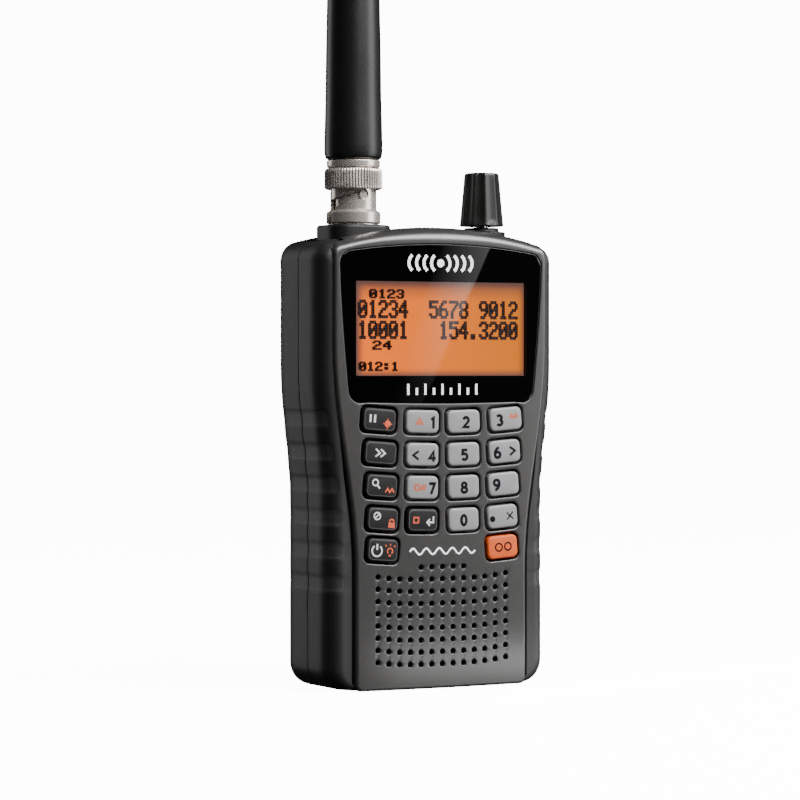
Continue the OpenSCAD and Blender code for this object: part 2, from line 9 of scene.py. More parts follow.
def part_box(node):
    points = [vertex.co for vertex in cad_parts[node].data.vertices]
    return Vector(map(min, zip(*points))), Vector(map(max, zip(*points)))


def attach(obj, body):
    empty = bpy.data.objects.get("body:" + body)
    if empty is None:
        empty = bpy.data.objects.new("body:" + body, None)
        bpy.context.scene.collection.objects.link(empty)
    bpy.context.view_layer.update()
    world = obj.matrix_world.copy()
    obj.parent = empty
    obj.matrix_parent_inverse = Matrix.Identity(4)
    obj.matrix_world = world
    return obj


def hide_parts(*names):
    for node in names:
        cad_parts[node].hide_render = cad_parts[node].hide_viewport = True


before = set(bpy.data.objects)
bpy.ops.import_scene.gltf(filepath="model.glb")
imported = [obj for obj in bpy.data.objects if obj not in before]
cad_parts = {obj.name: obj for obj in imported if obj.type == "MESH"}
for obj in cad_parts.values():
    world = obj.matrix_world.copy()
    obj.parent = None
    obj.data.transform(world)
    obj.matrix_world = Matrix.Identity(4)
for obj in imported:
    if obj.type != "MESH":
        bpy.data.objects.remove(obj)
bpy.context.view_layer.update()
MM = 0.001


def box_mm(node):
    low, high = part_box(node)
    return [c / MM for c in low], [c / MM for c in high]


def middle(node):
    low, high = box_mm(node)
    return [(a + b) / 2 for a, b in zip(low, high)]


# ---------------------------------------------------------------- sizes, in millimetres
FRONT_Y = box_mm("fascia")[0][1]
BACK_Y = box_mm("battery_door")[1][1]
LIP_Y = FRONT_Y + 1
SEAT_Y = FRONT_Y + 2
SEAM_Y = box_mm("front_housing")[1][1]
HALF_W = box_mm("rear_housing")[1][0]
HALF_WAIST = HALF_W - 2.6
BASE_Z = box_mm("front_housing")[0][2]
TOP_Z = box_mm("fascia")[1][2]
CROWN_R = 112
CROWN_C = TOP_Z - CROWN_R
WALL = 2.6
AXIS_Y = middle("volume_shaft")[1]
ANTENNA_X = middle("antenna_center_pin")[0]
KNOB_X = middle("volume_shaft")[0]
PHONE_X = middle("earphone_jack")[0]
LCD_Z = middle("lcd_panel")[2]
WAIST_Z, SHOULDER_Z = 46, 80
FOOT_R, SHOULDER_R = 5.6, 4.5
GRIP_Z, GRIP_PITCH, GRIP_COUNT = 26.9, 8.05, 6
WRAP_X, WRAP_Y, CAP_Y = 27, -11, 6


def ease(t):
    s = min(1, max(0, t))
    return s * s * (3 - 2 * s)


def mix(a, b, t):
    return a + (b - a) * t


def side_x(z):
    return mix(HALF_WAIST, HALF_W, ease((z - WAIST_Z) / (SHOULDER_Z - WAIST_Z)))


def panel_x(z):
    return mix(24, 29.9, ease((z - 30) / 55))


def crown(x, gap=0.0):
    return CROWN_C + math.sqrt((CROWN_R - gap) ** 2 - x * x)


def fillet_drop(reach, radius):
    """How far a rounded edge has fallen away at a distance in front of its end."""
    t = min(1.0, max(0.0, reach / radius))
    return 1 - math.sqrt(1 - t * t)


def turn(start, stop, steps):
    return [mix(start, stop, i / steps) for i in range(steps + 1)]


def arc(cx, cz, r, a0, a1, steps):
    angles = [math.radians(a) for a in turn(a0, a1, steps)]
    return [(cx + r * math.cos(a), cz + r * math.sin(a)) for a in angles]


def mirrored(right):
    """A closed loop from its right half, which runs from the bottom centre to the top centre."""
    return right + [(-x, z) for x, z in reversed(right[1:-1])]


# ---------------------------------------------------------------- mesh helpers
class Shell:
    """Collects vertices in millimetres and faces, and turns them into a piece."""

    def __init__(self):
        self.verts, self.faces = [], []

    def ring(self, points):
        start = len(self.verts)
        self.verts += [tuple(p) for p in points]
        return list(range(start, start + len(points)))

    def bridge(self, a, b, closed=True):
        count = len(a)
        for i in range(count if closed else count - 1):
            j = (i + 1) % count
            self.faces.append((a[i], a[j], b[j], b[i]))

    def rings(self, loops, closed=True, cap_start=False, cap_end=False):
        made = [self.ring(loop) for loop in loops]
        for a, b in zip(made, made[1:]):
            self.bridge(a, b, closed)
        if cap_start:
            self.faces.append(tuple(reversed(made[0])))
        if cap_end:
            self.faces.append(tuple(made[-1]))
        return made

    def mesh(self, name):
        mesh = bpy.data.meshes.new(name)
        mesh.from_pydata([Vector(v) * MM for v in self.verts], [], self.faces)
        work = bmesh.new()
        work.from_mesh(mesh)
        bmesh.ops.remove_doubles(work, verts=work.verts, dist=1e-7)
        bmesh.ops.dissolve_degenerate(work, edges=work.edges, dist=1e-7)
        bmesh.ops.recalc_face_normals(work, faces=work.faces)
        work.to_mesh(mesh)
        work.free()
        return mesh


def place(mesh, name, body, material, nodes=(), slot=None, sharp=38, weighted=True):
    """Puts a mesh in the scene as a piece that rides on a body and stands for CAD nodes."""
    mesh.polygons.foreach_set("use_smooth", [True] * len(mesh.polygons))
    mesh.set_sharp_from_angle(angle=math.radians(sharp))
    piece = bpy.data.objects.new(name, mesh)
    bpy.context.scene.collection.objects.link(piece)
    if not mesh.materials:
        mesh.materials.append(material)
    if weighted:
        shade = piece.modifiers.new("even_shading", "WEIGHTED_NORMAL")
        shade.mode = "FACE_AREA"
        shade.weight = 80
        shade.keep_sharp = True
    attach(piece, body)
    if nodes:
        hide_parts(*nodes)
    return piece


def plain_object(mesh):
    helper = bpy.data.objects.new("helper", mesh)
    bpy.context.scene.collection.objects.link(helper)
    return helper


def cut(mesh, cutters, operation="DIFFERENCE"):
    """The mesh after a boolean with each closed cutter mesh in turn."""
    for cutter in cutters:
        target, tool = plain_object(mesh), plain_object(cutter)
        step = target.modifiers.new("cut", "BOOLEAN")
        step.operation, step.solver, step.object = operation, "EXACT", tool
        done = bpy.data.meshes.new_from_object(target.evaluated_get(bpy.context.evaluated_depsgraph_get()))
        bpy.data.objects.remove(target)
        bpy.data.objects.remove(tool)
        mesh = done
    return mesh


def join(meshes, name):
    work = bmesh.new()
    for mesh in meshes:
        work.from_mesh(mesh)
    made = bpy.data.meshes.new(name)
    work.to_mesh(made)
    work.free()
    return made


def rounded_loop(cx, cz, w, h, r, inset=0.0, tilt=0.0, corner=6, side=3):
    """A rounded rectangle drawn in by inset, as a loop with the same number of points each time."""
    w, h, r = w - 2 * inset, h - 2 * inset, max(0.05, r - inset)
    corners = [(w / 2 - r, h / 2 - r, 0), (-w / 2 + r, h / 2 - r, 90), (-w / 2 + r, -h / 2 + r, 180),
               (w / 2 - r, -h / 2 + r, 270)]
    loop = []
    for i, (x, z, start) in enumerate(corners):
        loop += arc(x, z, r, start, start + 90, corner)
        nx, nz, begin = corners[(i + 1) % 4]
        a = loop[-1]
        b = (nx + r * math.cos(math.radians(begin)), nz + r * math.sin(math.radians(begin)))
        loop += [(mix(a[0], b[0], t), mix(a[1], b[1], t)) for t in turn(0, 1, side)[1:-1]]
    c, s = math.cos(math.radians(tilt)), math.sin(math.radians(tilt))
    return [(cx + x * c - z * s, cz + x * s + z * c) for x, z in loop]


def round_angles(count):
    return [math.tau * i / count for i in range(count)]


def circle_loop(cx, cz, r, count):
    return [(cx + r * math.cos(a), cz + r * math.sin(a)) for a in round_angles(count)]


def slab_rings(loop_at, a, b, round_a=0.0, round_b=0.0, steps=4):
    """Loops of a solid between depths a and b with rounded rims: pairs of (depth, loop)."""
    way = 1 if b > a else -1
    made = []
    if round_a:
        for phi in turn(0, math.pi / 2, steps):
            made.append((a + way * round_a * (1 - math.cos(phi)), loop_at(round_a * (1 - math.sin(phi)))))
    else:
        made.append((a, loop_at(0)))
    if round_b:
        for phi in turn(math.pi / 2, 0, steps):
            made.append((b - way * round_b * (1 - math.cos(phi)), loop_at(round_b * (1 - math.sin(phi)))))
    else:
        made.append((b, loop_at(0)))
    return made


def facing_y(level, loop):
    return [(x, level, z) for x, z in loop]


def facing_z(level, loop):
    return [(x, y, level) for x, y in loop]


def facing_x(level, loop):
    return [(level, y, z) for y, z in loop]


def slab(loop_at, a, b, to3d=facing_y, round_a=0.0, round_b=0.0, steps=4):
    shell = Shell()
    shell.rings([to3d(level, loop) for level, loop in slab_rings(loop_at, a, b, round_a, round_b, steps)],
                cap_start=True, cap_end=True)
    return shell.mesh("slab")


def box_mesh(low, high, edge=0.0):
    (x0, y0, z0), (x1, y1, z1) = low, high

    def outline(g):
        return rounded_loop((x0 + x1) / 2, (z0 + z1) / 2, x1 - x0, z1 - z0, max(edge, 0.05), g, 0, 3, 1)

    return slab(outline, y0, y1, facing_y, edge, edge, 3)


def softened(profile, radius=0.2, steps=3):
    """A profile of (r, z) points with its corners rounded; a third value sets a corner's own radius."""
    made = [tuple(profile[0][:2])]
    for before, here, after in zip(profile, profile[1:], profile[2:]):
        r = here[2] if len(here) > 2 else radius
        p, a, b = Vector(here[:2]), Vector(before[:2]), Vector(after[:2])
        u, v = a - p, b - p
        reach = min(r, u.length * 0.45, v.length * 0.45)
        if reach < 1e-3:
            made.append(tuple(p))
            continue
        start, stop = p + u.normalized() * reach, p + v.normalized() * reach
        for t in turn(0, 1, steps):
            q = start * (1 - t) ** 2 + p * 2 * t * (1 - t) + stop * t * t
            made.append(tuple(q))
    made.append(tuple(profile[-1][:2]))
    return made


def lathe(profile, cx, cy, count=64, closed=False, swell=None):
    """Turns a profile of (r, z) round a vertical axis. swell(angle, r, z) is added to the radius."""
    shell = Shell()
    loops = []
    for r, z in profile:
        reach = [(a, r + (swell(a, r, z) if swell else 0)) for a in round_angles(count)]
        loops.append([(cx + out * math.cos(a), cy + out * math.sin(a), z) for a, out in reach])
    made = shell.rings(loops, cap_start=not closed, cap_end=not closed)
    if closed:
        shell.bridge(made[-1], made[0])
    return shell.mesh("lathe")


def rod_x(cy, cz, profile, count=40):
    """Turns a profile of (r, x) points round an axis along X."""
    shell = Shell()
    shell.rings([facing_x(x, circle_loop(cy, cz, r, count)) for r, x in profile], cap_start=True, cap_end=True)
    return shell.mesh("rod")


# ---------------------------------------------------------------- materials
class Surface:
    """Builds a node material step by step."""

    def __init__(self, name):
        self.material = bpy.data.materials.new(name)
        self.material.use_nodes = True
        self.nodes = self.material.node_tree.nodes
        self.links = self.material.node_tree.links
        self.shader = self.nodes["Principled BSDF"]
        self.place = self.add("ShaderNodeTexCoord").outputs["Object"]

    def add(self, kind, **settings):
        node = self.nodes.new(kind)
        for key, value in settings.items():
            setattr(node, key, value)
        return node

    def link(self, a, b):
        self.links.new(a, b)

    def noise(self, scale, detail=2.0, rough=0.5):
        """Noise with features of about 1 / scale metres."""
        node = self.add("ShaderNodeTexNoise")
        node.inputs["Scale"].default_value = scale
        node.inputs["Detail"].default_value = detail
        node.inputs["Roughness"].default_value = rough
        self.link(self.place, node.inputs["Vector"])
        return node.outputs["Fac"]

    def between(self, value, low, high, start=0.3, stop=0.7):
        node = self.add("ShaderNodeMapRange")
        for key, number in zip(("From Min", "From Max", "To Min", "To Max"), (start, stop, low, high)):
            node.inputs[key].default_value = number
        self.link(value, node.inputs["Value"])
        return node.outputs["Result"]

    def blend(self, factor, a, b):
        node = self.add("ShaderNodeMix", data_type="RGBA")
        self.link(factor, node.inputs[0])
        for socket, colour in ((6, a), (7, b)):
            if isinstance(colour, (tuple, list)):
                node.inputs[socket].default_value = (*colour, 1)
            else:
                self.link(colour, node.inputs[socket])
        return node.outputs[2]

    def bump(self, height, distance):
        node = self.add("ShaderNodeBump")
        node.inputs["Strength"].default_value = 1.0
        node.inputs["Distance"].default_value = distance
        self.link(height, node.inputs["Height"])
        return node.outputs["Normal"]

    def set(self, name, value):
        socket = self.shader.inputs[name]
        if isinstance(value, bpy.types.NodeSocket):
            self.link(value, socket)
        else:
            socket.default_value = value


def shade(colour, factor):
    return tuple(min(1, c * factor) for c in colour)


def finish_of(name, colour, rough, metal, grain, grain_depth, spread, blotch, rough_spread, specular):
    """Moulded, painted or plated surface. grain and blotch are features to the metre, grain_depth is in
    metres, and the spreads are how far colour and roughness stray from their mean."""
    s = Surface(name)
    fine = s.noise(grain, 2.0, 0.6)
    wide = s.noise(blotch, 3.0, 0.6)
    s.set("Base Color", s.blend(s.between(wide, 0, 1), shade(colour, 1 - spread), shade(colour, 1 + spread)))
    s.set("Roughness", s.between(fine, rough - rough_spread, rough + rough_spread))
    s.set("Metallic", metal)
    s.set("Specular IOR Level", specular)
    s.set("Normal", s.bump(fine, grain_depth))
    return s.material


def lcd_glow():
    """Amber display: pink to orange from left to right, darker at its edges. The brighter pink at the left is
    the display's glow with part of the window's sheen painted in.
    """
    s = Surface("lcd_glow")
    low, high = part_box("lcd_panel")
    split = s.add("ShaderNodeSeparateXYZ")
    s.link(s.place, split.inputs["Vector"])
    across = s.between(split.outputs["X"], 0, 1, low.x, high.x)
    # Pink at the left is partly a painted reflection of the window's sheen; orange at the right is the glow
    # itself.
    tint_and_sheen = s.blend(across, (1.6, 0.262, 0), (0.92, 0.235, 0))

    def near_edge(axis, centre, half, fade):
        offset = s.add("ShaderNodeMath", operation="SUBTRACT")
        s.link(split.outputs[axis], offset.inputs[0])
        offset.inputs[1].default_value = centre
        size = s.add("ShaderNodeMath", operation="ABSOLUTE")
        s.link(offset.outputs[0], size.inputs[0])
        ramp = s.add("ShaderNodeMapRange", interpolation_type="SMOOTHERSTEP")
        for key, number in zip(("From Min", "From Max", "To Min", "To Max"), (half - fade, half, 1, 0)):
            ramp.inputs[key].default_value = number
        s.link(size.outputs[0], ramp.inputs["Value"])
        return ramp.outputs["Result"]

    lit, both = (s.add("ShaderNodeMath", operation="MULTIPLY") for _ in range(2))
    s.link(near_edge("X", 0.0007, 0.0244, 0.0034), lit.inputs[0])
    s.link(near_edge("Z", LCD_Z * MM, 0.0122, 0.003), lit.inputs[1])
    s.link(lit.outputs[0], both.inputs[0])
    s.link(s.between(split.outputs["Z"], 1, 0, (LCD_Z + 6.8) * MM, (LCD_Z + 11.8) * MM), both.inputs[1])
    glow = s.blend(both.outputs[0], (0.16, 0.084, 0.07), tint_and_sheen)
    s.set("Base Color", (0.01, 0.002, 0.001, 1))
    s.set("Roughness", 0.6)
    s.set("Specular IOR Level", 0.1)
    s.set("Emission Color", glow)
    s.set("Emission Strength", 1.08)
    return s.material


def window_glass():
    """Thin clear sheet: it mirrors a little and lets the rest straight through."""
    s = Surface("window_glass")
    smear = s.noise(120, 3.0)
    s.set("Base Color", (1, 1, 1, 1))
    s.set("Roughness", s.between(smear, 0.004, 0.02))
    s.set("Metallic", 1.0)
    s.set("Alpha", 0.06)
    return s.material


CHARCOAL = (0.009, 0.0088, 0.0089)
FASCIA_PAINT = finish_of("fascia_paint", (0.036, 0.0351, 0.034), 0.33, 0.4, 5200, 2.2e-6, 0.05, 90, 0.05, 1.0)
SOFT_BLACK = finish_of("soft_black", CHARCOAL, 0.52, 0.0, 5200, 4e-6, 0.08, 120, 0.05, 0.45)
# Finger-recess floors: the case black painted lighter, a painted highlight for the light the recesses catch.
PAINTED_LIGHT_RECESS_BLACK = finish_of("painted_light_recess_black", (0.022, 0.022, 0.0222), 0.5, 0.0, 5200, 4e-6, 0.08, 120, 0.05, 0.45)
TOP_BLACK = finish_of("top_black", (0.007, 0.007, 0.0075), 0.48, 0.0, 4200, 3e-6, 0.1, 120, 0.06, 0.28)
DARK_KEY = finish_of("dark_key", (0.006, 0.0058, 0.0058), 0.5, 0.0, 6000, 3e-6, 0.1, 300, 0.05, 0.25)
SILVER_KEY = finish_of("silver_key", (0.205, 0.205, 0.212), 0.46, 0.2, 7000, 2.2e-6, 0.03, 300, 0.05, 0.4)
ORANGE_KEY = finish_of("orange_key", (0.5, 0.066, 0.003), 0.5, 0.0, 6000, 2.2e-6, 0.05, 300, 0.05, 0.4)
OUTLINE_GREY = finish_of("outline_grey", (0.04, 0.039, 0.039), 0.5, 0.0, 6000, 1e-6, 0.08, 400, 0.05, 0.4)
LEGEND_DARK = finish_of("legend_dark", (0.004, 0.004, 0.005), 0.7, 0.0, 8000, 1e-6, 0.1, 800, 0.05, 0.06)
LEGEND_LIGHT = finish_of("legend_light", (0.5, 0.5, 0.49), 0.5, 0.0, 8000, 1e-6, 0.08, 800, 0.05, 0.3)
LEGEND_WHITE = finish_of("legend_white", (0.95, 0.95, 0.95), 0.5, 0.0, 8000, 1e-6, 0.03, 800, 0.05, 0.3)
LEGEND_ORANGE = finish_of("legend_orange", (0.5, 0.08, 0.03), 0.5, 0.0, 8000, 1e-6, 0.08, 800, 0.05, 0.3)
LEGEND_PEACH = finish_of("legend_peach", (0.36, 0.085, 0.043), 0.5, 0.0, 8000, 1e-6, 0.08, 800, 0.05, 0.3)
LCD_INK = finish_of("lcd_ink", (0.012, 0.002, 0.001), 0.6, 0.0, 8000, 1e-6, 0.2, 900, 0.05, 0.2)
TAPE_BLACK = finish_of("tape_black", (0.002, 0.002, 0.0022), 0.6, 0.0, 6000, 1e-6, 0.1, 300, 0.05, 0.2)
NICKEL = finish_of("nickel", (0.6, 0.54, 0.495), 0.26, 0.76, 2600, 0.1e-6, 0.05, 420, 0.02, 0.5)
GLOSS_BLACK = finish_of("gloss_black", (0.0008, 0.0008, 0.0009), 0.01, 0.0, 900, 0, 0.1, 200, 0.005, 0.5)
WHIP_RUBBER = finish_of("whip_rubber", (0.006, 0.006, 0.0062), 0.36, 0.0, 3600, 3e-6, 0.1, 200, 0.06, 0.42)
KNOB_BLACK = finish_of("knob_black", (0.007, 0.0072, 0.0066), 0.36, 0.0, 5000, 1e-6, 0.1, 200, 0.05, 0.36)
FOOT_RUBBER = finish_of("foot_rubber", (0.015, 0.015, 0.016), 0.7, 0.0, 3000, 6e-6, 0.12, 200, 0.06, 0.3)
CLIP_PLASTIC = finish_of("clip_plastic", (0.02, 0.02, 0.021), 0.44, 0.0, 4000, 4e-6, 0.08, 150, 0.05, 0.42)
STEEL = finish_of("steel", (0.56, 0.56, 0.55), 0.3, 1.0, 2500, 1.5e-6, 0.06, 400, 0.08, 0.5)
SCREW_STEEL = finish_of("screw_steel", (0.12, 0.12, 0.125), 0.36, 1.0, 2500, 2e-6, 0.08, 500, 0.08, 0.5)
GOLD = finish_of("gold", (0.78, 0.52, 0.2), 0.26, 1.0, 2500, 1e-6, 0.05, 400, 0.05, 0.5)
BOARD_GREEN = finish_of("board_green", (0.015, 0.09, 0.04), 0.4, 0.0, 1500, 4e-6, 0.15, 300, 0.06, 0.5)
WHITE_PLASTIC = finish_of("white_plastic", (0.72, 0.72, 0.68), 0.42, 0.0, 3500, 2e-6, 0.04, 200, 0.05, 0.45)
GREY_RUBBER = finish_of("grey_rubber", (0.09, 0.09, 0.09), 0.65, 0.0, 3500, 5e-6, 0.1, 200, 0.05, 0.35)
CLOTH_BLACK = finish_of("cloth_black", (0.006, 0.006, 0.006), 0.9, 0.0, 9000, 2e-5, 0.3, 4000, 0.05, 0.1)
CONE_PAPER = finish_of("cone_paper", (0.02, 0.019, 0.018), 0.85, 0.0, 5000, 1e-5, 0.2, 600, 0.05, 0.2)
MAGNET_BLACK = finish_of("magnet_black", (0.035, 0.035, 0.038), 0.5, 0.4, 3000, 4e-6, 0.15, 300, 0.06, 0.4)
CELL_WRAP = finish_of("cell_wrap", (0.36, 0.2, 0.05), 0.35, 0.3, 2500, 1e-6, 0.1, 90, 0.05, 0.5)

KEPT = {
    "lcd_backlight": WHITE_PLASTIC, "lcd_holder": WHITE_PLASTIC, "keypad_membrane": GREY_RUBBER,
    "key_domes": STEEL, "main_board": BOARD_GREEN, "rf_shield": STEEL, "speaker_basket": STEEL,
    "speaker_cone": CONE_PAPER, "speaker_magnet": MAGNET_BLACK, "speaker_cloth": CLOTH_BLACK,
    "antenna_jack": NICKEL, "antenna_jack_nut": NICKEL, "jack_insulator": WHITE_PLASTIC,
    "jack_contact": GOLD, "antenna_center_pin": GOLD, "volume_shaft": STEEL, "squelch_shaft": STEEL,
    "control_body": MAGNET_BLACK, "earphone_jack": TOP_BLACK, "usb_socket": STEEL,
    "battery_cells": CELL_WRAP, "battery_contacts": STEEL, "case_screws": SCREW_STEEL,
    "clip_pin": STEEL, "clip_spring": STEEL, "window_tape": TAPE_BLACK, "lcd_panel": lcd_glow(),
}
for node, material in KEPT.items():
    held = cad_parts[node].data.materials
    held.clear()
    held.append(material)


# ---------------------------------------------------------------- case outlines
def case_right(gx, gt, gb):
    """Right half of the front view of the case, drawn in by gx at the sides, gt above and gb below."""
    foot = max(2.4, FOOT_R - min(gx, gb))
    start = side_x(0) - gx - foot
    points = [(start * t, BASE_Z + gb) for t in turn(0, 1, 10)[:-1]]
    points += arc(start, BASE_Z + gb + foot, foot, -90, 0, 8)
    low = BASE_Z + gb + foot
    shoulder = max(2.6, SHOULDER_R - min(gx, gt))
    cx = HALF_W - gx - shoulder
    cz = CROWN_C + math.sqrt((CROWN_R - gt - shoulder) ** 2 - cx * cx)
    levels = turn(low, 20, 5)[1:-1] + turn(20, 74, 162) + turn(74, cz, 10)[1:-1]
    points += [(side_x(z) - gx, z) for z in levels]
    top = math.degrees(math.atan2(cz - CROWN_C, cx))
    points += arc(cx, cz, shoulder, 0, top, 8)
    reach = CROWN_R - gt
    edge = math.degrees(math.acos(WRAP_X / reach))
    step = math.degrees(math.acos((WRAP_X - 0.05) / reach))
    if top < edge - 0.6:
        points += [(reach * math.cos(math.radians(a)), CROWN_C + reach * math.sin(math.radians(a)))
                   for a in turn(top, edge, 3)[1:]]
    else:
        points += [points[-1]] * 3
    points += [(reach * math.cos(math.radians(a)), CROWN_C + reach * math.sin(math.radians(a)))
               for a in turn(max(step, top), 90, 24)]
    return points


def corner_along(inset):
    """Place on the front corner, measured back along the side, where it has come in by an inset."""
    t = math.sqrt(max(0.0, 1 - (1 - min(inset, 4.1) / 4.1) ** 2))
    return -9 - 6 * t - 0.55 * inset


RECESS = 0.22


def recess(along, z, start, end=10.5):
    """Depth of the finger recesses at a place on the side: along runs back from the front corner."""
    row = round((z - GRIP_Z) / GRIP_PITCH)
    if row < 0 or row > GRIP_COUNT - 1:
        return 0.0
    centre = GRIP_Z + row * GRIP_PITCH
    middle_at, half, tall, r = (start + end) / 2, (end - start) / 2, 2.45, 1.7
    qx, qz = abs(along - middle_at) - half + r, abs(z - centre) - tall + r
    outside = math.hypot(max(qx, 0), max(qz, 0)) + min(max(qx, qz), 0) - r
    return RECESS * ease(-outside / 1.6 + 0.1)


def housing_rings(rows):
    """Rings of the case skin from rows of (y, gx, gt, gb, along, plan normal of the side)."""
    rings = []
    for y, corner, gt, gb, along, (nx, ny) in rows:
        ring = []
        for x, z in mirrored(case_right(corner, gt, gb)):
            way = 1 if x > 0 else -1
            depth = 0.0
            if 20 < z < 74 and abs(x) > 20:
                edge = side_x(z) - panel_x(z) - 1.9
                depth = recess(along, z, corner_along(max(0.4, edge)))
            dip = 0.0
            if abs(x) <= WRAP_X - 0.02 and z > 90 and y < CAP_Y + 0.05:
                dip = 2.4
            ring.append((x - way * depth * nx, y - depth * ny, z - dip))
        rings.append(ring)
    return rings


def front_rows():
    """Rows from the lip back to the seam."""
    depth, wide = 6.0, 4.1
    rows = []
    levels = sorted({round(LIP_Y + r * (1 - math.cos(phi)), 4) for r in (6.0, 4.5, 1.0)
                     for phi in turn(0, math.pi / 2, 8)} | set(turn(-9, SEAM_Y - 0.25, 15)))
    for y in levels:
        gx = wide * fillet_drop(LIP_Y + depth - y, depth)
        gt = 4.5 * fillet_drop(LIP_Y + 4.5 - y, 4.5)
        gb = fillet_drop(LIP_Y + 1.0 - y, 1.0)
        t = min(1, max(0, (LIP_Y + depth - y) / depth))
        n = Vector((math.sqrt(1 - t * t) / wide, -t / depth)).normalized()
        rows.append((y, gx, gt, gb, y - 0.55 * gx, (n.x, n.y)))
    return rows


def split_recess(mesh, name):
    """Takes the faces inside the finger recesses off a housing skin, as a mesh of their own."""
    parts = []
    for keep_recess in (False, True):
        work = bmesh.new()
        work.from_mesh(mesh)
        drop = []
        for face in work.faces:
            x, y, z = (c / MM for c in face.calc_center_median())
            side = side_x(z) - abs(x) if 20 < z < 74 else 99
            start = corner_along(max(0.4, side_x(z) - panel_x(z) - 1.9))
            depth = recess(y - 0.55 * max(0, side), z, start) if side < 5 and y < 10.6 else 0
            if (depth > 0.35 * RECESS) != keep_recess:
                drop.append(face)
        bmesh.ops.delete(work, geom=drop, context="FACES")
        made = bpy.data.meshes.new(name)
        work.to_mesh(made)
        work.free()
        parts.append(made)
    return parts


def seam_rim(rows, way):
    """Adds a small rounded edge at the seam after the last row, or before the first."""
    y, gx, gt, gb, along, normal = rows[-1] if way > 0 else rows[0]
    extra = []
    for phi in turn(0, math.pi / 2, 3)[1:]:
        g = 0.22 * (1 - math.cos(phi))
        extra.append((y + way * 0.22 * math.sin(phi), gx + g, gt + g, gb + g, along, normal))
    return rows + extra if way > 0 else list(reversed(extra)) + rows


def lip_ring(y, grow, source):
    """The groove beside the front cover, matched point for point with a ring of the case."""
    ring = []
    for x, _, z in source:
        way = 1 if x > 0 else -1
        limit = abs(x) - 0.12
        if z < 107:
            limit = min(limit, panel_x(z) + grow)
        ring.append((way * min(limit, abs(x)), y, z))
    return ring


def build_front_housing():
    shell = Shell()
    rows = seam_rim(front_rows(), 1)
    rings = housing_rings(rows)
    first = rings[0]
    soft = lip_ring(LIP_Y, 0.75, first)
    wall = lip_ring(LIP_Y + 0.2, 0.55, first)
    floor = lip_ring(SEAT_Y, 0.5, first)
    under = lip_ring(SEAT_Y, -1.5, first)
    skin = [under, floor, wall, soft] + rings
    inner = [(y, WALL + g, WALL + g, WALL + g, -99, (1, 0)) for y, g in ((rows[-1][0], 0), (-9, 0), (-12, 0.4))]
    shell.rings(skin + housing_rings(inner))
    return shell.mesh("front_housing_skin")


SCREW_WELLS = [(x * way, z, depth) for way in (-1, 1) for x, z, depth in ((23.5, 12, 14), (28.4, 106, 11.4))]


def build_rear_housing():
    shell = Shell()
    levels = [SEAM_Y + 0.25] + turn(-2, 3.6, 7) + turn(3.6, CAP_Y, 4)[1:-1] + [CAP_Y + 0.04, CAP_Y + 0.08]
    levels += turn(CAP_Y + 0.5, 11.6, 9)
    levels += [BACK_Y - 6 + 6 * math.sin(phi) for phi in turn(0, math.pi / 2, 10)][1:]
    levels += [BACK_Y - 0.45, BACK_Y - 0.12, BACK_Y - 0.03]
    rows = []
    for y in sorted(set(round(v, 4) for v in levels)):
        gx = 15 * fillet_drop(y - (BACK_Y - 14), 14)
        g = 6 * fillet_drop(y - (BACK_Y - 6), 6)
        t = min(1, max(0, (y - (BACK_Y - 14)) / 14))
        n = Vector((math.sqrt(max(0, 1 - t * t)) / 15, t / 14)).normalized()
        rows.append((y, gx, g, g, y, (n.x, n.y)))
    rows = seam_rim(rows, -1)
    rings = housing_rings(rows)
    inner_rows = [(BACK_Y - WALL, 15, 6, 6), (BACK_Y - WALL - 0.9, 9, 3, 3), (BACK_Y - WALL - 4, 3.2, 0, 0),
                  (CAP_Y, 0, 0, 0), (rows[0][0], 0, 0, 0)]
    inner = housing_rings([(y, gx + (0 if i == 0 else WALL), gt + WALL, gb + WALL, -99, (1, 0))
                           for i, (y, gx, gt, gb) in enumerate(inner_rows)])
    outer = shell.rings(rings)
    shell.faces.append(tuple(outer[-1]))
    back = shell.rings(inner)
    shell.faces.append(tuple(back[0]))
    shell.bridge(back[-1], outer[0])
    mesh = shell.mesh("rear_housing_skin")
    door = box_mm("battery_door")[1]
    pocket_w, pocket_h = 2 * (door[0] - 0.85) + 0.3, door[2] * 2 - 80 + 0.3
    pocket = slab(lambda g: rounded_loop(0, 40, pocket_w, pocket_h, 1.2, g), BACK_Y - 2.0, BACK_Y + 4)
    bay = slab(lambda g: rounded_loop(0, 52.5, 34, 57, 1.0, g), 1.0, BACK_Y)
    wells = [slab(lambda g: circle_loop(x, z, 2.1 - g, 28), depth, BACK_Y + 3) for x, z, depth in SCREW_WELLS]
    mesh = cut(mesh, [pocket, bay] + wells)
    tray = Shell()
    outside = [facing_y(y, rounded_loop(0, 52.5, 36.4, 59.4, 1.6)) for y in (BACK_Y - 2.1, -0.6)]
    inside = [facing_y(y, rounded_loop(0, 52.5, 34.1, 57.1, 1.0)) for y in (0.6, BACK_Y - 2.1)]
    made = tray.rings(outside, cap_end=True)
    kept = tray.rings(inside, cap_start=True)
    tray.bridge(kept[-1], made[0])
    seats = [slab(lambda g: circle_loop(x, z, 2.9 - g, 24), depth - 3, depth) for x, z, depth in SCREW_WELLS]
    return join([mesh, tray.mesh("tray")] + seats, "rear_housing_skin")


for name, build in (("front", build_front_housing), ("rear", build_rear_housing)):
    skin, recess_faces_painted_light = split_recess(build(), name)
    place(skin, name + "_shell", "case", SOFT_BLACK, [name + "_housing"], "case_plastic")
    # The recess faces carry the lighter black: painted light caught in the finger recesses.
    place(recess_faces_painted_light, name + "_grips", "case", PAINTED_LIGHT_RECESS_BLACK, slot="case_plastic")


# ---------------------------------------------------------------- front cover
KEY_GAP, KEY_R = 0.6, 1.2
TILT = {-1: {"outer": -4.5, "inner": -1.5}, 1: {"outer": 4.5, "inner": 1.5}}
KEYS = [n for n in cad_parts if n.startswith("key_") and n != "key_domes"]


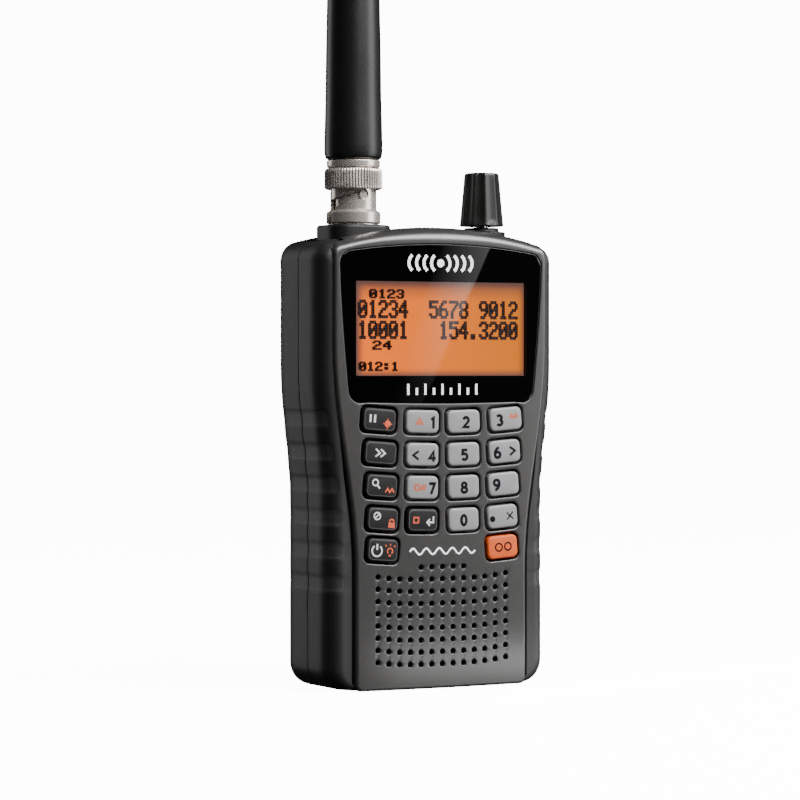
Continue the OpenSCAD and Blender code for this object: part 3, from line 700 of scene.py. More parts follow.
def key_shape(node):
    """Centre, width, height and tilt of a key's cap, from its CAD box."""
    low, high = box_mm(node)
    x, z = (low[0] + high[0]) / 2, (low[2] + high[2]) / 2
    kind = "outer" if abs(x) > 12 else "inner"
    tilt = TILT[1 if x > 0 else -1][kind]
    row = min(3, max(0, round((66.3 - z) / 8.1)))
    return x, z, 9.2 - 0.2 * row, 5.7, tilt


def window_right(g):
    r = 3.4 - g
    points = [(25 * t * 0.9, 70.9 + g - 0.1 + 0.5 * (t * 22.5 / 25.0) ** 2) for t in turn(0, 1, 10)[:-1]]
    points += arc(26 - 3.4, 70.9 + 3.4, r, -80, -5, 7)
    points += [(mix(26 - 3.4 + r * math.cos(math.radians(5)), 28.3 - 3.4 + r, ease_side(t)),
                mix(70.9 + 3.4 - r * math.sin(math.radians(5)), 104.9, t)) for t in turn(0, 1, 12)[1:-1]]
    points += arc(28.3 - 3.4, 104.9, r, 0, 78, 7)
    x1, z1 = points[-1]
    top = 110.1 - g
    points += [(x1 * (1 - t), top - (top - z1) * (1 - t) ** 2) for t in turn(0, 1, 14)[1:]]
    return points


def ease_side(t):
    """The window's side leans out quickly at first and stands upright near the top."""
    return math.sin(t * math.pi / 2) * 0.55 + t * 0.45


def panel_right(gx, gt, gb):
    corner = max(1.0, 1.7 - min(gx, gb))
    cx, cz = 24 - gx - corner, 0.4 + gb + corner
    x0, z0 = cx + corner * math.cos(math.radians(-80)), cz + corner * math.sin(math.radians(-80))
    points = [(x0 * t, mix(0.3 + gb, z0, t ** 1.6)) for t in turn(0, 1, 12)[:-1]]
    points += arc(cx, cz, corner, -80, 0, 6)
    top_r = 1.9
    tx = 29.9 - gx - top_r

    def drop(x):
        return gt / 4.0 * mix(3.6, 2.6, ease(abs(x) / 25.5))

    tz = CROWN_C + math.sqrt((CROWN_R - drop(tx) - top_r) ** 2 - tx * tx)
    points += [(panel_x(z) - gx, z) for z in turn(cz, 30, 6)[1:-1] + turn(30, 88, 29) + turn(88, tz, 6)[1:-1]]
    end = math.degrees(math.atan2(tz - CROWN_C, tx))
    points += arc(tx, tz, top_r, 0, end, 6)
    x1 = points[-1][0]
    for t in turn(0, 1, 26)[1:]:
        x = x1 * (1 - t)
        points.append((x, crown(x, drop(x))))
    return points


def rim(shell, loop_at, fillet, depth, steps=3):
    """Adds the rounded rim of an opening in the front face, and returns its outer loop."""
    rings = []
    for phi in turn(0, math.pi / 2, steps):
        rings.append(facing_y(FRONT_Y + fillet * (1 - math.cos(phi)), loop_at(-fillet * (1 - math.sin(phi)))))
    rings.append(facing_y(depth, loop_at(0)))
    shell.rings(rings)
    return loop_at(-fillet)


def inside(point, loop):
    x, z = point
    hit = False
    for (x0, z0), (x1, z1) in zip(loop, loop[1:] + loop[:1]):
        if (z0 > z) != (z1 > z) and x < (x1 - x0) * (z - z0) / (z1 - z0) + x0:
            hit = not hit
    return hit


def holed_face(shell, outer, holes, level):
    """A flat face at a depth, bounded by a loop and pierced by loops."""
    points, edges = [], []
    for loop in [outer] + holes:
        start = len(points)
        points += [Vector(p) for p in loop]
        edges += [(start + i, start + (i + 1) % len(loop)) for i in range(len(loop))]
    verts, _, faces, *_ = delaunay_2d_cdt(points, edges, [], 1, 1e-5)
    boxes = [(min(p[0] for p in h), max(p[0] for p in h), min(p[1] for p in h), max(p[1] for p in h), h)
             for h in holes]
    ids = shell.ring([(v.x, level, v.y) for v in verts])
    for face in faces:
        centre = sum((verts[i] for i in face), Vector((0, 0))) / len(face)
        if not inside(centre, outer):
            continue
        if any(a < centre.x < b and c < centre.y < d and inside(centre, h) for a, b, c, d, h in boxes):
            continue
        shell.faces.append(tuple(ids[i] for i in face))


def grille_places():
    places = []
    for row in range(8):
        for k in range(-6, 7):
            places.append((k * 3.0, 6.4 + row * 3.0 + 0.93 * (abs(k) / 6) ** 3.4))
    return places + [(k * 3.0, 30.4) for k in range(-2, 3)]


def build_fascia():
    shell = Shell()
    holes = [rim(shell, lambda g: mirrored(window_right(g - 0.1)), 0.22, FRONT_Y + 1.4)]
    for node in KEYS:
        x, z, w, h, tilt = key_shape(node)
        w, h, r = w + 2 * KEY_GAP, h + 2 * KEY_GAP, KEY_R + KEY_GAP / 2 + 0.2
        holes.append(rim(shell, lambda g: rounded_loop(x, z, w, h, r, g, tilt), 0.34, FRONT_Y + 4, 4))
    for x, z in grille_places():
        holes.append(rim(shell, lambda g: circle_loop(x, z, 0.7 - g, 18), 0.16, FRONT_Y + 2.0, 2))
    levels = sorted({round(FRONT_Y + r * (1 - math.cos(phi)), 4) for r in (0.9, 0.7, 4.5)
                     for phi in turn(0, math.pi / 2, 8)} | {SEAT_Y})
    rings = []
    for y in levels:
        drops = [reach * fillet_drop(FRONT_Y + r - y, r) for reach, r in ((0.9, 0.9), (4.0, 4.5), (0.7, 0.7))]
        rings.append((y, mirrored(panel_right(*drops))))
    holed_face(shell, rings[0][1], holes, FRONT_Y)
    made = [shell.ring(facing_y(y, loop)) for y, loop in rings if y <= SEAT_Y]
    for a, b in zip(made, made[1:]):
        shell.bridge(a, b)
    back = [facing_y(y, loop) for y, loop in rings if y >= SEAT_Y] + [facing_y(WRAP_Y - 0.1, rings[-1][1])]
    keep = [i for i, (x, z) in enumerate(rings[-1][1]) if z > 100 and abs(x) < 27.1]
    keep.sort(key=lambda i: -rings[-1][1][i][0])
    strip = [shell.ring([ring[i] for i in keep]) for ring in back]
    lower = shell.ring([(x, y, z - 1.2) for x, y, z in [back[-1][i] for i in keep]])
    for a, b in zip(strip, strip[1:]):
        shell.bridge(a, b, closed=False)
    shell.bridge(strip[-1], lower, closed=False)
    return shell.mesh("fascia_skin")


place(build_fascia(), "front_cover", "case", FASCIA_PAINT, ["fascia"], "fascia_paint", sharp=50)
LIT_W, LIT_H = 48, 23.2


def lit_outline(grow=0.0, g=0.0):
    return rounded_loop(0, LCD_Z, LIT_W + grow, LIT_H + grow, 0.3, g, 0, 2, 2)


def build_window_frame():
    """The printed border of the window, with an opening over the lit area."""
    shell = Shell()
    front, back = FRONT_Y + 0.06, FRONT_Y + 1.06
    lit = lit_outline()
    rims = slab_rings(lambda g: mirrored(window_right(g + 0.06)), front, back, 0.12, 0.0)
    shell.rings([facing_y(y, loop) for y, loop in rims])
    holed_face(shell, rims[0][1], [lit], front)
    holed_face(shell, rims[-1][1], [lit], back)
    return shell.mesh("window_frame")


def build_opening():
    """Matt walls of the opening in the border."""
    shell = Shell()
    shell.rings([facing_y(FRONT_Y + back, lit_outline()) for back in (0.06, 1.35)])
    return shell.mesh("window_opening")


place(build_window_frame(), "window_border", "case", GLOSS_BLACK, ["display_window"], "window_glass",
      sharp=60)
place(build_opening(), "window_opening", "case", TAPE_BLACK, slot="tape_black")
place(slab(lambda g: lit_outline(1, g), FRONT_Y + 0.075, FRONT_Y + 1.0), "window_clear", "case", window_glass(),
      slot="window_glass", sharp=60)


def flat_strokes(strokes, level):
    """Painted lines on a flat face at a depth, in front of it."""
    shell = Shell()
    for points, width, closed in strokes:
        left, right = stroke(points, width, closed)
        rings = [shell.ring([(p[0], y, p[1]) for p in side]) for side, y in
                 ((left, level - 0.02), (right, level - 0.02), (right, level + 0.04), (left, level + 0.04))]
        for a, b in zip(rings, rings[1:] + rings[:1]):
            shell.bridge(a, b, closed)
        if not closed:
            for end in (0, -1):
                shell.faces.append(tuple(ring[end] for ring in rings))
    return shell.mesh("flat_strokes")


# ---------------------------------------------------------------- keys and their legends
KEY_TOP = FRONT_Y - 0.63


def build_key(node):
    shape = key_shape(node)
    x, z, w, h, tilt = shape
    shell = Shell()
    high = box_mm(node)[1]

    def at(g):
        return rounded_loop(x, z, w, h, KEY_R + 0.25, g, tilt)

    rings = [facing_y(high[1], rounded_loop(x, z, w + 1.7, h + 1.7, KEY_R + 0.85, 0, tilt)),
             facing_y(high[1] - 0.9, rounded_loop(x, z, w + 1.7, h + 1.7, KEY_R + 0.85, 0, tilt)),
             facing_y(high[1] - 0.9, at(0)), facing_y(KEY_TOP + 0.65, at(0))]
    for phi in turn(math.pi / 2, 0, 4)[1:]:
        g = 0.5 * (1 - math.sin(phi))
        rings.append([(px, KEY_TOP + 0.1 + 0.5 * (1 - math.cos(phi)), pz) for px, pz in at(g)])
    for share in (0.82, 0.6, 0.35, 0.12):
        loop = [(x + (px - x) * share, z + (pz - z) * share) for px, pz in at(0.5)]
        rings.append([(px, KEY_TOP + 0.1 - 0.1 * (1 - share ** 2), pz) for px, pz in loop])
    shell.rings(rings, cap_start=True, cap_end=True)
    return shell.mesh(node)


def legend_y(x, z, shape):
    cx, cz, w, h, _ = shape
    u, v = abs(x - cx) / (w / 2 - 0.5), abs(z - cz) / (h / 2 - 0.5)
    share = min(1, max(u, v))
    return KEY_TOP + 0.1 - 0.1 * (1 - share ** 2)


def stroke(points, width, closed=False):
    """The left and right edges, in (x, z), of a painted line along some points."""
    count = len(points)
    left, right = [], []
    for i, p in enumerate(points):
        here = Vector(p)
        before = Vector(points[i - 1]) if (i > 0 or closed) else None
        after = Vector(points[(i + 1) % count]) if (i < count - 1 or closed) else None
        a = (here - before).normalized() if before is not None else (after - here).normalized()
        b = (after - here).normalized() if after is not None else a
        n1, n2 = Vector((-a.y, a.x)), Vector((-b.y, b.x))
        n = (n1 + n2).normalized()
        reach = width / 2 / max(0.5, n.dot(n1))
        left.append(here + n * reach)
        right.append(here - n * reach)
    return left, right


def stroke_mesh(strokes, shape, lift=0.03):
    shell = Shell()
    cx, cz, _, _, tilt = shape
    c, s = math.cos(math.radians(tilt)), math.sin(math.radians(tilt))

    def to3d(p, out):
        x, z = cx + p[0] * c - p[1] * s, cz + p[0] * s + p[1] * c
        return (x, legend_y(x, z, shape) - out, z)

    for points, width, closed in strokes:
        left, right = stroke(points, width, closed)
        up = (shell.ring([to3d(p, lift) for p in left]), shell.ring([to3d(p, lift) for p in right]))
        down = (shell.ring([to3d(p, -0.03) for p in left]), shell.ring([to3d(p, -0.03) for p in right]))
        loop = [up[0], up[1], down[1], down[0], up[0]]
        for a, b in zip(loop, loop[1:]):
            shell.bridge(a, b, closed)
        if not closed:
            for end in (0, -1):
                shell.faces.append((up[0][end], up[1][end], down[1][end], down[0][end]))
    return shell.mesh("strokes")


def disc(x, z, r):
    return (circle_loop(x, z, r / 2, 20), r, True)


def line(points, width):
    return (points, width, False)


def paint(strokes, name, body, material, slot):
    """Puts the strokes of a legend in the scene."""
    place(strokes, name, body, material, slot=slot, weighted=False)


def ring_of(x, z, r, width, a0=0, a1=360):
    if a1 - a0 >= 360:
        return (circle_loop(x, z, r, 24), width, True)
    return line(arc(x, z, r, a0, a1, 18), width)


def oval(x, z, rx, rz, a0=0, a1=360, steps=20):
    """Points along an ellipse; a whole one leaves out the repeated last point."""
    angles = [math.radians(a) for a in turn(a0, a1, steps)]
    points = [(x + rx * math.cos(a), z + rz * math.sin(a)) for a in angles]
    return points[:-1] if abs(a1 - a0) >= 360 else points


DIGIT_LINES = {
    "0": [(oval(0, 0, 0.66, 1.12), True)],
    "1": [([(-0.5, 0.72), (0.12, 1.12), (0.12, -1.32)], False)],
    "2": [(oval(0, 0.44, 0.68, 0.68, 165, -35, 12) + [(-0.66, -1.12), (0.9, -1.12)], False)],
    "3": [(oval(-0.06, 0.56, 0.62, 0.56, 150, -85, 12), False),
          (oval(-0.06, -0.54, 0.72, 0.6, 85, -150, 12), False)],
    "4": [([(0.32, -1.32), (0.32, 1.08), (-0.74, -0.5), (0.92, -0.5)], False)],
    "5": [([(0.74, 1.12), (-0.5, 1.12), (-0.56, 0.2)] + oval(-0.04, -0.42, 0.72, 0.7, 118, -145, 12), False)],
    "6": [(oval(0, -0.48, 0.68, 0.66), True), (oval(0.55, -0.45, 1.23, 1.6, 178, 92, 10), False)],
    "7": [([(-0.78, 1.12), (0.7, 1.12), (-0.22, -1.3)], False)],
    "8": [(oval(0, 0.58, 0.56, 0.54), True), (oval(0, -0.55, 0.68, 0.6), True)],
    "9": [(oval(0, 0.48, 0.68, 0.66), True), (oval(-0.55, 0.45, 1.23, 1.6, -2, -88, 10), False)],
}


def key_digit(node, text, x, z):
    """Strokes of a digit, given by its place in the row frame, laid on a key."""
    cx, cz, _, _, tilt = key_shape(node)
    c, s = math.cos(math.radians(-tilt)), math.sin(math.radians(-tilt))
    dx, dz = (x - cx) * c - (z - cz) * s, (x - cx) * s + (z - cz) * c
    return [([(1.07 * px + dx, 1.07 * pz + dz) for px, pz in points], 0.7, closed)
            for points, closed in DIGIT_LINES[text]]


SIGN_X, SIGN_Z = -0.5, 105.4
waves = [disc(SIGN_X, SIGN_Z, 1.0)]
for i, reach in enumerate((2.6, 4.7, 6.8, 8.9)):
    for way in (-1, 1):
        centre = SIGN_X + way * (reach - 2.4)
        bow = arc(centre, SIGN_Z, 2.4, -52, 52, 10)
        waves.append(line([(centre + way * (x - centre), z) for x, z in bow], 0.8))
paint(flat_strokes(waves, FRONT_Y + 0.06), "radio_sign", "case", LEGEND_WHITE, "key_light")
ticks = [line([(-9.6 + 2.4 * i, 72.9), (-9.6 + 2.4 * i, 75.6 if i % 2 == 0 else 74.6)], 0.62) for i in range(9)]
paint(flat_strokes(ticks, FRONT_Y + 0.06), "tuning_ticks", "case", LEGEND_WHITE, "key_light")
ripple = [line([(-9.2 + 18.4 * t, 34.3 + 0.75 * math.sin(t * math.tau * 5)) for t in turn(0, 1, 90)], 0.42)]
paint(flat_strokes(ripple, FRONT_Y), "wave_line", "case", LEGEND_WHITE, "key_light")

KEY_LOOKS = {"key_func": (ORANGE_KEY, "key_orange")}
for node in ("key_hold", "key_scan", "key_search", "key_lockout", "key_power", "key_enter"):
    KEY_LOOKS[node] = (DARK_KEY, "key_dark")
for node in KEYS:
    finish, slot_name = KEY_LOOKS.get(node, (SILVER_KEY, "key_light"))
    place(build_key(node), node + "_cap", node, finish, [node], slot_name)
    if finish is DARK_KEY:
        w, h = key_shape(node)[2:4]
        edge = rounded_loop(0, 0, w - 1.0, h - 1.0, 1.0)
        outline = stroke_mesh([(edge, 0.2, True)], key_shape(node), 0.06)
        paint(outline, node + "_edge", node, OUTLINE_GREY, "key_dark")

DIGITS = {"1": (-3.0, 66.0), "2": (6.3, 66.1), "3": (15.9, 66.5), "4": (-3.2, 57.8), "5": (5.9, 58.0),
          "6": (15.3, 58.4), "7": (-3.3, 49.8), "8": (5.8, 49.9), "9": (15.1, 50.4), "0": (5.7, 41.8)}
for digit, (x, z) in DIGITS.items():
    node = "key_" + digit
    strokes = key_digit(node, digit, x, z)
    paint(stroke_mesh(strokes, key_shape(node)), node + "_digit", node, LEGEND_DARK, "key_dark")

CHEVRON = [(0.75, 1.05), (-0.75, 0), (0.75, -1.05)]


def moved(points, dx, dz):
    return [(x + dx, z + dz) for x, z in points]


LINE = 0.42
DARK_MARKS = {
    "key_4": [line(moved(CHEVRON, -2.0, -0.2), 0.56)],
    "key_6": [line([(-x + 2.1, z) for x, z in CHEVRON], 0.56)],
    "key_clear": [disc(-3.0, -0.4, 0.75), line([(1.1, 0.9), (2.9, -0.9)], 0.36),
                  line([(1.1, -0.9), (2.9, 0.9)], 0.36)],
    "key_func": [ring_of(-1.2, 0, 0.95, 0.36), ring_of(1.4, 0, 0.95, 0.36)],
}
LIGHT_MARKS = {
    "key_hold": [line([(-2.6, 1.2), (-2.6, -0.7)], 0.55), line([(-1.4, 1.2), (-1.4, -0.7)], 0.55)],
    "key_scan": [line(moved([(-0.6, 0.95), (0.6, 0), (-0.6, -0.95)], -0.9, 0), LINE),
                 line(moved([(-0.6, 0.95), (0.6, 0), (-0.6, -0.95)], 0.5, 0), LINE)],
    "key_search": [ring_of(-1.9, 0.8, 0.75, 0.36), line([(-1.35, 0.2), (-0.6, -0.6)], 0.45)],
    "key_lockout": [ring_of(-1.7, 0.7, 0.85, 0.34), line([(-2.35, 0.1), (-1.05, 1.3)], 0.34)],
    "key_enter": [line([(2.9, 1.0), (2.9, -0.5), (1.2, -0.5)], LINE),
                  line([(1.9, 0.3), (1.1, -0.5), (1.9, -1.3)], LINE)],
    "key_power": [ring_of(-1.7, -0.2, 1.35, 0.42, 125, 415), line([(-1.7, 1.5), (-1.7, 0.0)], 0.45)],
}
ORANGE_MARKS = {
    "key_hold": [disc(2.2, -0.8, 0.85), line([(0.9, -0.8), (3.5, -0.8)], 0.26),
                 line([(2.2, 0.5), (2.2, -2.1)], 0.26)],
    "key_search": [line(moved([(-1.2, -0.4), (-0.6, 0.5), (0, -0.4), (0.6, 0.5), (1.2, -0.4)], 2.2, -1.0),
                        0.4)],
    "key_lockout": [line([(1.5, -1.3), (3.3, -1.3)], 1.3), ring_of(2.4, -0.5, 0.62, 0.34, 0, 180)],
    "key_power": [ring_of(1.9, -0.1, 0.72, 0.34, -50, 230), line([(1.55, -1.2), (2.25, -1.2)], 0.4),
                  line([(0.9, 1.0), (0.5, 1.35)], 0.3), line([(1.9, 1.2), (1.9, 1.7)], 0.3),
                  line([(2.9, 1.0), (3.3, 1.35)], 0.3)],
    "key_enter": [(moved([(-1.1, -0.6), (-1.1, 0.7), (0.2, 0.7), (0.2, -0.6)], -1.5, 0), 0.36, True)],
}
PEACH_MARKS = {
    "key_1": [(moved([(-0.8, -0.5), (0, 0.7), (0.8, -0.5)], -1.0, 0), 0.6, True)],
    "key_7": [ring_of(-1.6, 0, 0.7, 0.55), line([(-0.5, -0.7), (0.1, 0.7)], 0.55),
              line([(0.2, -0.7), (0.8, 0.7)], 0.55)],
    "key_3": [line(moved([(-1.2, -0.3), (-0.6, 0.5), (0, -0.3), (0.6, 0.5), (1.2, -0.3)], 2.2, 0.4), 0.6)],
}
for suffix, marks, material, mark_slot in (("mark", DARK_MARKS, LEGEND_DARK, "key_dark"),
                                           ("sign", LIGHT_MARKS, LEGEND_LIGHT, "key_light"),
                                           ("second", ORANGE_MARKS, LEGEND_ORANGE, "key_orange"),
                                           ("second", PEACH_MARKS, LEGEND_PEACH, "key_orange")):
    for node, strokes in marks.items():
        paint(stroke_mesh(strokes, key_shape(node)), f"{node}_{suffix}", node, material, mark_slot)


# ---------------------------------------------------------------- display contents
GLYPHS = {
    "0": "01110 10001 10011 10101 11001 10001 01110", "1": "00100 01100 00100 00100 00100 00100 01110",
    "2": "01110 10001 00001 00110 01000 10000 11111", "3": "01110 10001 00001 00110 00001 10001 01110",
    "4": "00010 00110 01010 10010 11111 00010 00010", "5": "11111 10000 11110 00001 00001 10001 01110",
    "6": "00110 01000 10000 11110 10001 10001 01110", "7": "11111 00001 00010 00100 01000 01000 01000",
    "8": "01110 10001 10001 01110 10001 10001 01110", "9": "01110 10001 10001 01111 00001 00010 01100",
    ".": "00000 00000 00000 00000 00000 01100 01100", ":": "00000 01100 01100 00000 01100 01100 00000",
}


def runs(row):
    """Start and end columns of each unbroken run of dots in a row such as 01101."""
    edges = [i for i, (a, b) in enumerate(zip("0" + row, row + "0")) if a != b]
    return zip(edges[::2], edges[1::2])


def lcd_mesh(lines):
    """Dots of the display's characters. A line is (text, left x, low z, height, pitch, dot width)."""
    shell = Shell()
    level = box_mm("lcd_panel")[0][1] - 0.03
    for text, left, low, height, pitch, wide in lines:
        dot_h = height / 7
        for n, letter in enumerate(text):
            for r, row in enumerate(GLYPHS.get(letter, "").split()):
                z1 = low + height - r * dot_h
                for start, stop in runs(row):
                    x0, x1 = left + n * pitch + start * wide - 0.24, left + n * pitch + stop * wide + 0.24
                    bottom, top = z1 - dot_h - 0.1, z1 + 0.1
                    dot = [(x0, level, bottom), (x1, level, bottom), (x1, level, top), (x0, level, top)]
                    shell.faces.append(tuple(shell.ring(dot)))
    mesh = bpy.data.meshes.new("lcd_dots")
    mesh.from_pydata([Vector(v) * MM for v in shell.verts], [], shell.faces)
    return mesh


LCD_LINES = [("0123", -19.6, 96.6, 2.2, 2.5, 0.38), ("01234  5678 9012", -22.7, 91.75, 4.4, 2.83, 0.46),
             ("10001   154.3200", -22.7, 86.65, 4.4, 2.83, 0.46), ("24", -18.7, 84.0, 2.2, 2.9, 0.44),
             ("012:1", -22.5, 78.8, 2.2, 2.25, 0.36)]
paint(lcd_mesh(LCD_LINES), "display_dots", "case", LCD_INK, "tape_black")


# ---------------------------------------------------------------- antenna
RAMP_DROP, LUG_Z = 2.2, 122.3
LUG_ROOM = 1.12


def knurl(count, depth, low, high):
    def swell(angle, r, z):
        if not low < z < high or r < 6:
            return 0.0
        fade = min(1, (z - low) / 0.25, (high - z) / 0.25)
        return -depth * fade * (0.5 + 0.5 * math.cos(angle * count))
    return swell


def spoke(angle):
    return Vector((math.cos(angle), math.sin(angle), 0))


def build_coupling():
    """Bayonet ring with a ramp, an end hole and an entry slot for each of the socket's two lugs."""
    low, high = box_mm("antenna_coupling")
    base, top = low[2], high[2]
    sleeve = [(4.95, base + 0.3), (5.2, base), (6.5, base), (6.7, base + 0.25), (6.7, base + 2.6),
              (6.45, base + 2.95), (6.05, base + 3.05), (5.75, base + 3.4), (5.7, base + 3.8), (5.7, 123.7),
              (4.95, 123.7)]
    body = lathe(sleeve, ANTENNA_X, AXIS_Y, 96, closed=True)
    grip = [(4.95, 123.6), (5.72, 123.6), (6.3, 123.62), (6.85, 123.75), (7.1, 124.0)]
    grip += [(7.2, z) for z in turn(124.2, top - 0.75, 6)]
    grip += [(7.05, top - 0.35), (6.7, top - 0.05), (6.3, top), (4.5, top), (4.35, top - 0.15), (4.35, 124.6),
             (4.95, 124.55)]
    knurled = lathe(grip, ANTENNA_X, AXIS_Y, 480, closed=True, swell=knurl(60, 0.26, 123.9, top - 0.2))
    tools = []
    for side in (0, math.pi):
        path = []
        for t in turn(0, 1, 12):
            out = spoke(-math.pi / 2 - math.pi / 2 * t + side)
            centre = Vector((ANTENNA_X, AXIS_Y, LUG_Z - RAMP_DROP * t))
            path.append([centre + out * r + Vector((0, 0, h)) for r, h in
                         ((4.3, -LUG_ROOM), (6.2, -LUG_ROOM), (6.2, LUG_ROOM), (4.3, LUG_ROOM))])
        shell = Shell()
        shell.rings(path, cap_start=True, cap_end=True)
        tools.append(shell.mesh("ramp"))
        out = spoke(-math.pi / 2 + side)
        across = Vector((-out.y, out.x, 0))
        lug = Vector((ANTENNA_X, AXIS_Y, LUG_Z))
        hole = Shell()
        hole.rings([[lug + out * r + across * u + Vector((0, 0, v)) for u, v in circle_loop(0, 0, 1.35, 24)]
                    for r in (4.1, 6.25)], cap_start=True, cap_end=True)
        tools.append(hole.mesh("hole"))
        x = ANTENNA_X + 5.2 * math.cos(-math.pi + side)
        low = (x - 1.6, AXIS_Y - LUG_ROOM, base - 1)
        high = (x + 1.6, AXIS_Y + LUG_ROOM, LUG_Z - RAMP_DROP + LUG_ROOM)
        tools.append(box_mesh(low, high, 0.1))
    return join([cut(body, tools), knurled], "coupling")


place(build_coupling(), "bayonet_ring", "coupling", NICKEL, ["antenna_coupling"], "nickel", sharp=32)

collar = softened([(2.5, 137), (2.5, 131.02), (6.1, 131.02), (6.62, 130.75), (6.62, 129.4), (6.3, 129.05),
                   (4.2, 129.05), (4.2, 124.45), (4.65, 124.4), (4.65, 124.02), (4.05, 123.98), (4.05, 118.1),
                   (3.45, 118.1), (3.45, 123.9), (0.75, 124), (0.75, 127)], 0.14)
place(lathe(collar, ANTENNA_X, AXIS_Y, 96), "antenna_collar", "antenna", NICKEL, ["antenna_plug_body"],
      "nickel")

tip = box_mm("antenna_whip")[1][2]
rubber = [(2.55, 131.04), (6.35, 131.04, 0.2), (6.95, 131.5, 0.5), (7.2, 132.6, 0.8), (7.25, 134.4, 1.2),
          (7.15, 139, 2), (6.95, 146, 3), (6.85, 156, 3)]
rubber += [(mix(6.85, 4.55, ((z - 156) / (tip - 4.5 - 156))), z, 3) for z in turn(160, tip - 4.6, 24)]
rubber += [(r, z, 0.01) for r, z in arc(0, tip - 4.5, 4.5, 4, 86, 12)]
rubber += [(0.05, tip - 0.002)]
place(lathe(softened(rubber, 0.2), ANTENNA_X, AXIS_Y, 96), "antenna_rubber", "antenna", WHIP_RUBBER,
      ["antenna_whip"], "whip_rubber")


# ---------------------------------------------------------------- knobs
FACETS, FACET_POINTS = 10, 14


def build_knob():
    """Tapered knob, round at its foot, whose ten flats are slightly hollow."""
    low, high = box_mm("volume_knob")
    base, top = low[2], high[2]
    shell = Shell()
    loops = []
    profile = [(3.2, base + 1.2), (3.2, base + 0.1), (4.6, base), (5.45, base + 0.06), (5.6, base + 0.3)]
    profile += [(mix(5.6, 4.45, t), mix(base + 0.3, top - 0.7, t)) for t in turn(0, 1, 14)[1:]]
    profile += arc(3.75, top - 0.7, 0.7, 0, 90, 5)[1:]
    profile += [(3.3, top - 0.02), (2.9, top - 0.2), (1.5, top - 0.26), (0.3, top - 0.28)]
    for r, z in profile:
        ring = []
        share = ease((r - 3.4) / 1.0) * ease((z - base) / 0.8)
        for i in range(FACETS * FACET_POINTS):
            a = math.tau * (i + 0.5) / (FACETS * FACET_POINTS)
            local = ((a / math.tau * FACETS) % 1) * 2 - 1
            flat = math.cos(math.pi / FACETS) / math.cos(local * math.pi / FACETS)
            dish = 0.2 * (1 - min(1, abs(local) / 0.86) ** 2)
            peak = max(0, abs(local) - 0.86) / 0.14
            reach = r * mix(1, flat - 0.02 * peak ** 2, share) - dish * share
            ring.append((KNOB_X + reach * math.cos(a), AXIS_Y + reach * math.sin(a), z))
        loops.append(ring)
    shell.rings(loops, cap_start=True, cap_end=True)
    return shell.mesh("knob")


place(build_knob(), "volume_grip", "volume_knob", KNOB_BLACK, ["volume_knob"], "knob_plastic", sharp=28)
knob_top = box_mm("volume_knob")[1][2]
mark = slab(lambda g: rounded_loop(KNOB_X, AXIS_Y - 2.9, 0.7, 1.9, 0.3, g), knob_top - 0.3, knob_top - 0.02,
            facing_z, 0.0, 0.04)
place(mark, "volume_pointer", "volume_knob", LEGEND_LIGHT, slot="knob_plastic")

low, high = box_mm("squelch_knob")
base = low[2]
ring_profile = softened([(2.66, base + 0.02), (5.9, base, 0.2), (6.0, base + 1.4, 0.35), (4.6, base + 1.4, 0.2),
                         (4.35, base + 1.6, 0.2), (4.35, base + 2.4, 0.2), (2.66, base + 2.4)], 0.15)


def ring_notches(angle, r, z):
    return -0.14 * max(0, math.cos(36 * angle)) if r > 5.6 and base + 0.15 < z < base + 1.2 else 0


ring = lathe(ring_profile, KNOB_X, AXIS_Y, 144, closed=True, swell=ring_notches)
tab = box_mesh((KNOB_X + 5.2, AXIS_Y - 0.7, base + 0.05), (high[0], AXIS_Y + 0.7, base + 1.38), 0.25)
place(join([ring, tab], "squelch"), "squelch_dial", "squelch_ring", TOP_BLACK, ["squelch_knob"],
      "knob_plastic")


# ---------------------------------------------------------------- top cap, feet
def build_top():
    shell = Shell()
    xs = turn(-WRAP_X + 0.1, WRAP_X - 0.1, 54)
    loops = []
    y0, y1 = WRAP_Y + 0.06, CAP_Y - 0.08
    for y, g in ((y0, 0.12), (y0 + 0.05, 0.03), (y0 + 0.15, 0), (y1 - 0.3, 0), (y1 - 0.1, 0.05), (y1, 0.2)):
        upper = [(x, y, crown(x, 0.28 + g)) for x in xs]
        lower = [(x, y, crown(x, 2.3)) for x in reversed(xs)]
        loops.append(upper + lower)
    shell.rings(loops, cap_start=True, cap_end=True)
    sheet = shell.mesh("cap")
    pad = slab(lambda g: rounded_loop(ANTENNA_X, AXIS_Y, 16.8, 14.8, 5, g, 0, 8, 3), 110.9,
               box_mm("top_panel")[1][2], facing_z, 0, 0.7)
    seat = slab(lambda g: circle_loop(KNOB_X, AXIS_Y, 7.2 - g, 48), 110.4, 112.2, facing_z, 0, 0.3)
    whole = cut(sheet, [pad, seat], "UNION")
    bores = ((KNOB_X, 6.8, 48, 112.2), (PHONE_X, 3.0, 40, 105), (ANTENNA_X, 4.7, 40, 105),
             (KNOB_X, 3.7, 40, 105))
    tools = [slab(lambda g: circle_loop(x, AXIS_Y, r - g, count), floor, 118, facing_z)
             for x, r, count, floor in bores]
    return cut(whole, tools)


place(build_top(), "top_cap", "case", TOP_BLACK, ["top_panel"], "top_plastic", sharp=35)
feet = [slab(lambda g: rounded_loop(0, y, 39, h, 2, g), BASE_Z - 0.02, 0, facing_z, 0.0, 0.25)
        for y, h in ((-8.3, 7), (4.2, 12))]
place(join(feet, "feet"), "foot_strips", "case", FOOT_RUBBER, ["foot_pads"], "foot_rubber")


# ---------------------------------------------------------------- back: battery door and belt clip
DOOR_INNER_Y, DOOR_EDGE = 15.85, 0.35


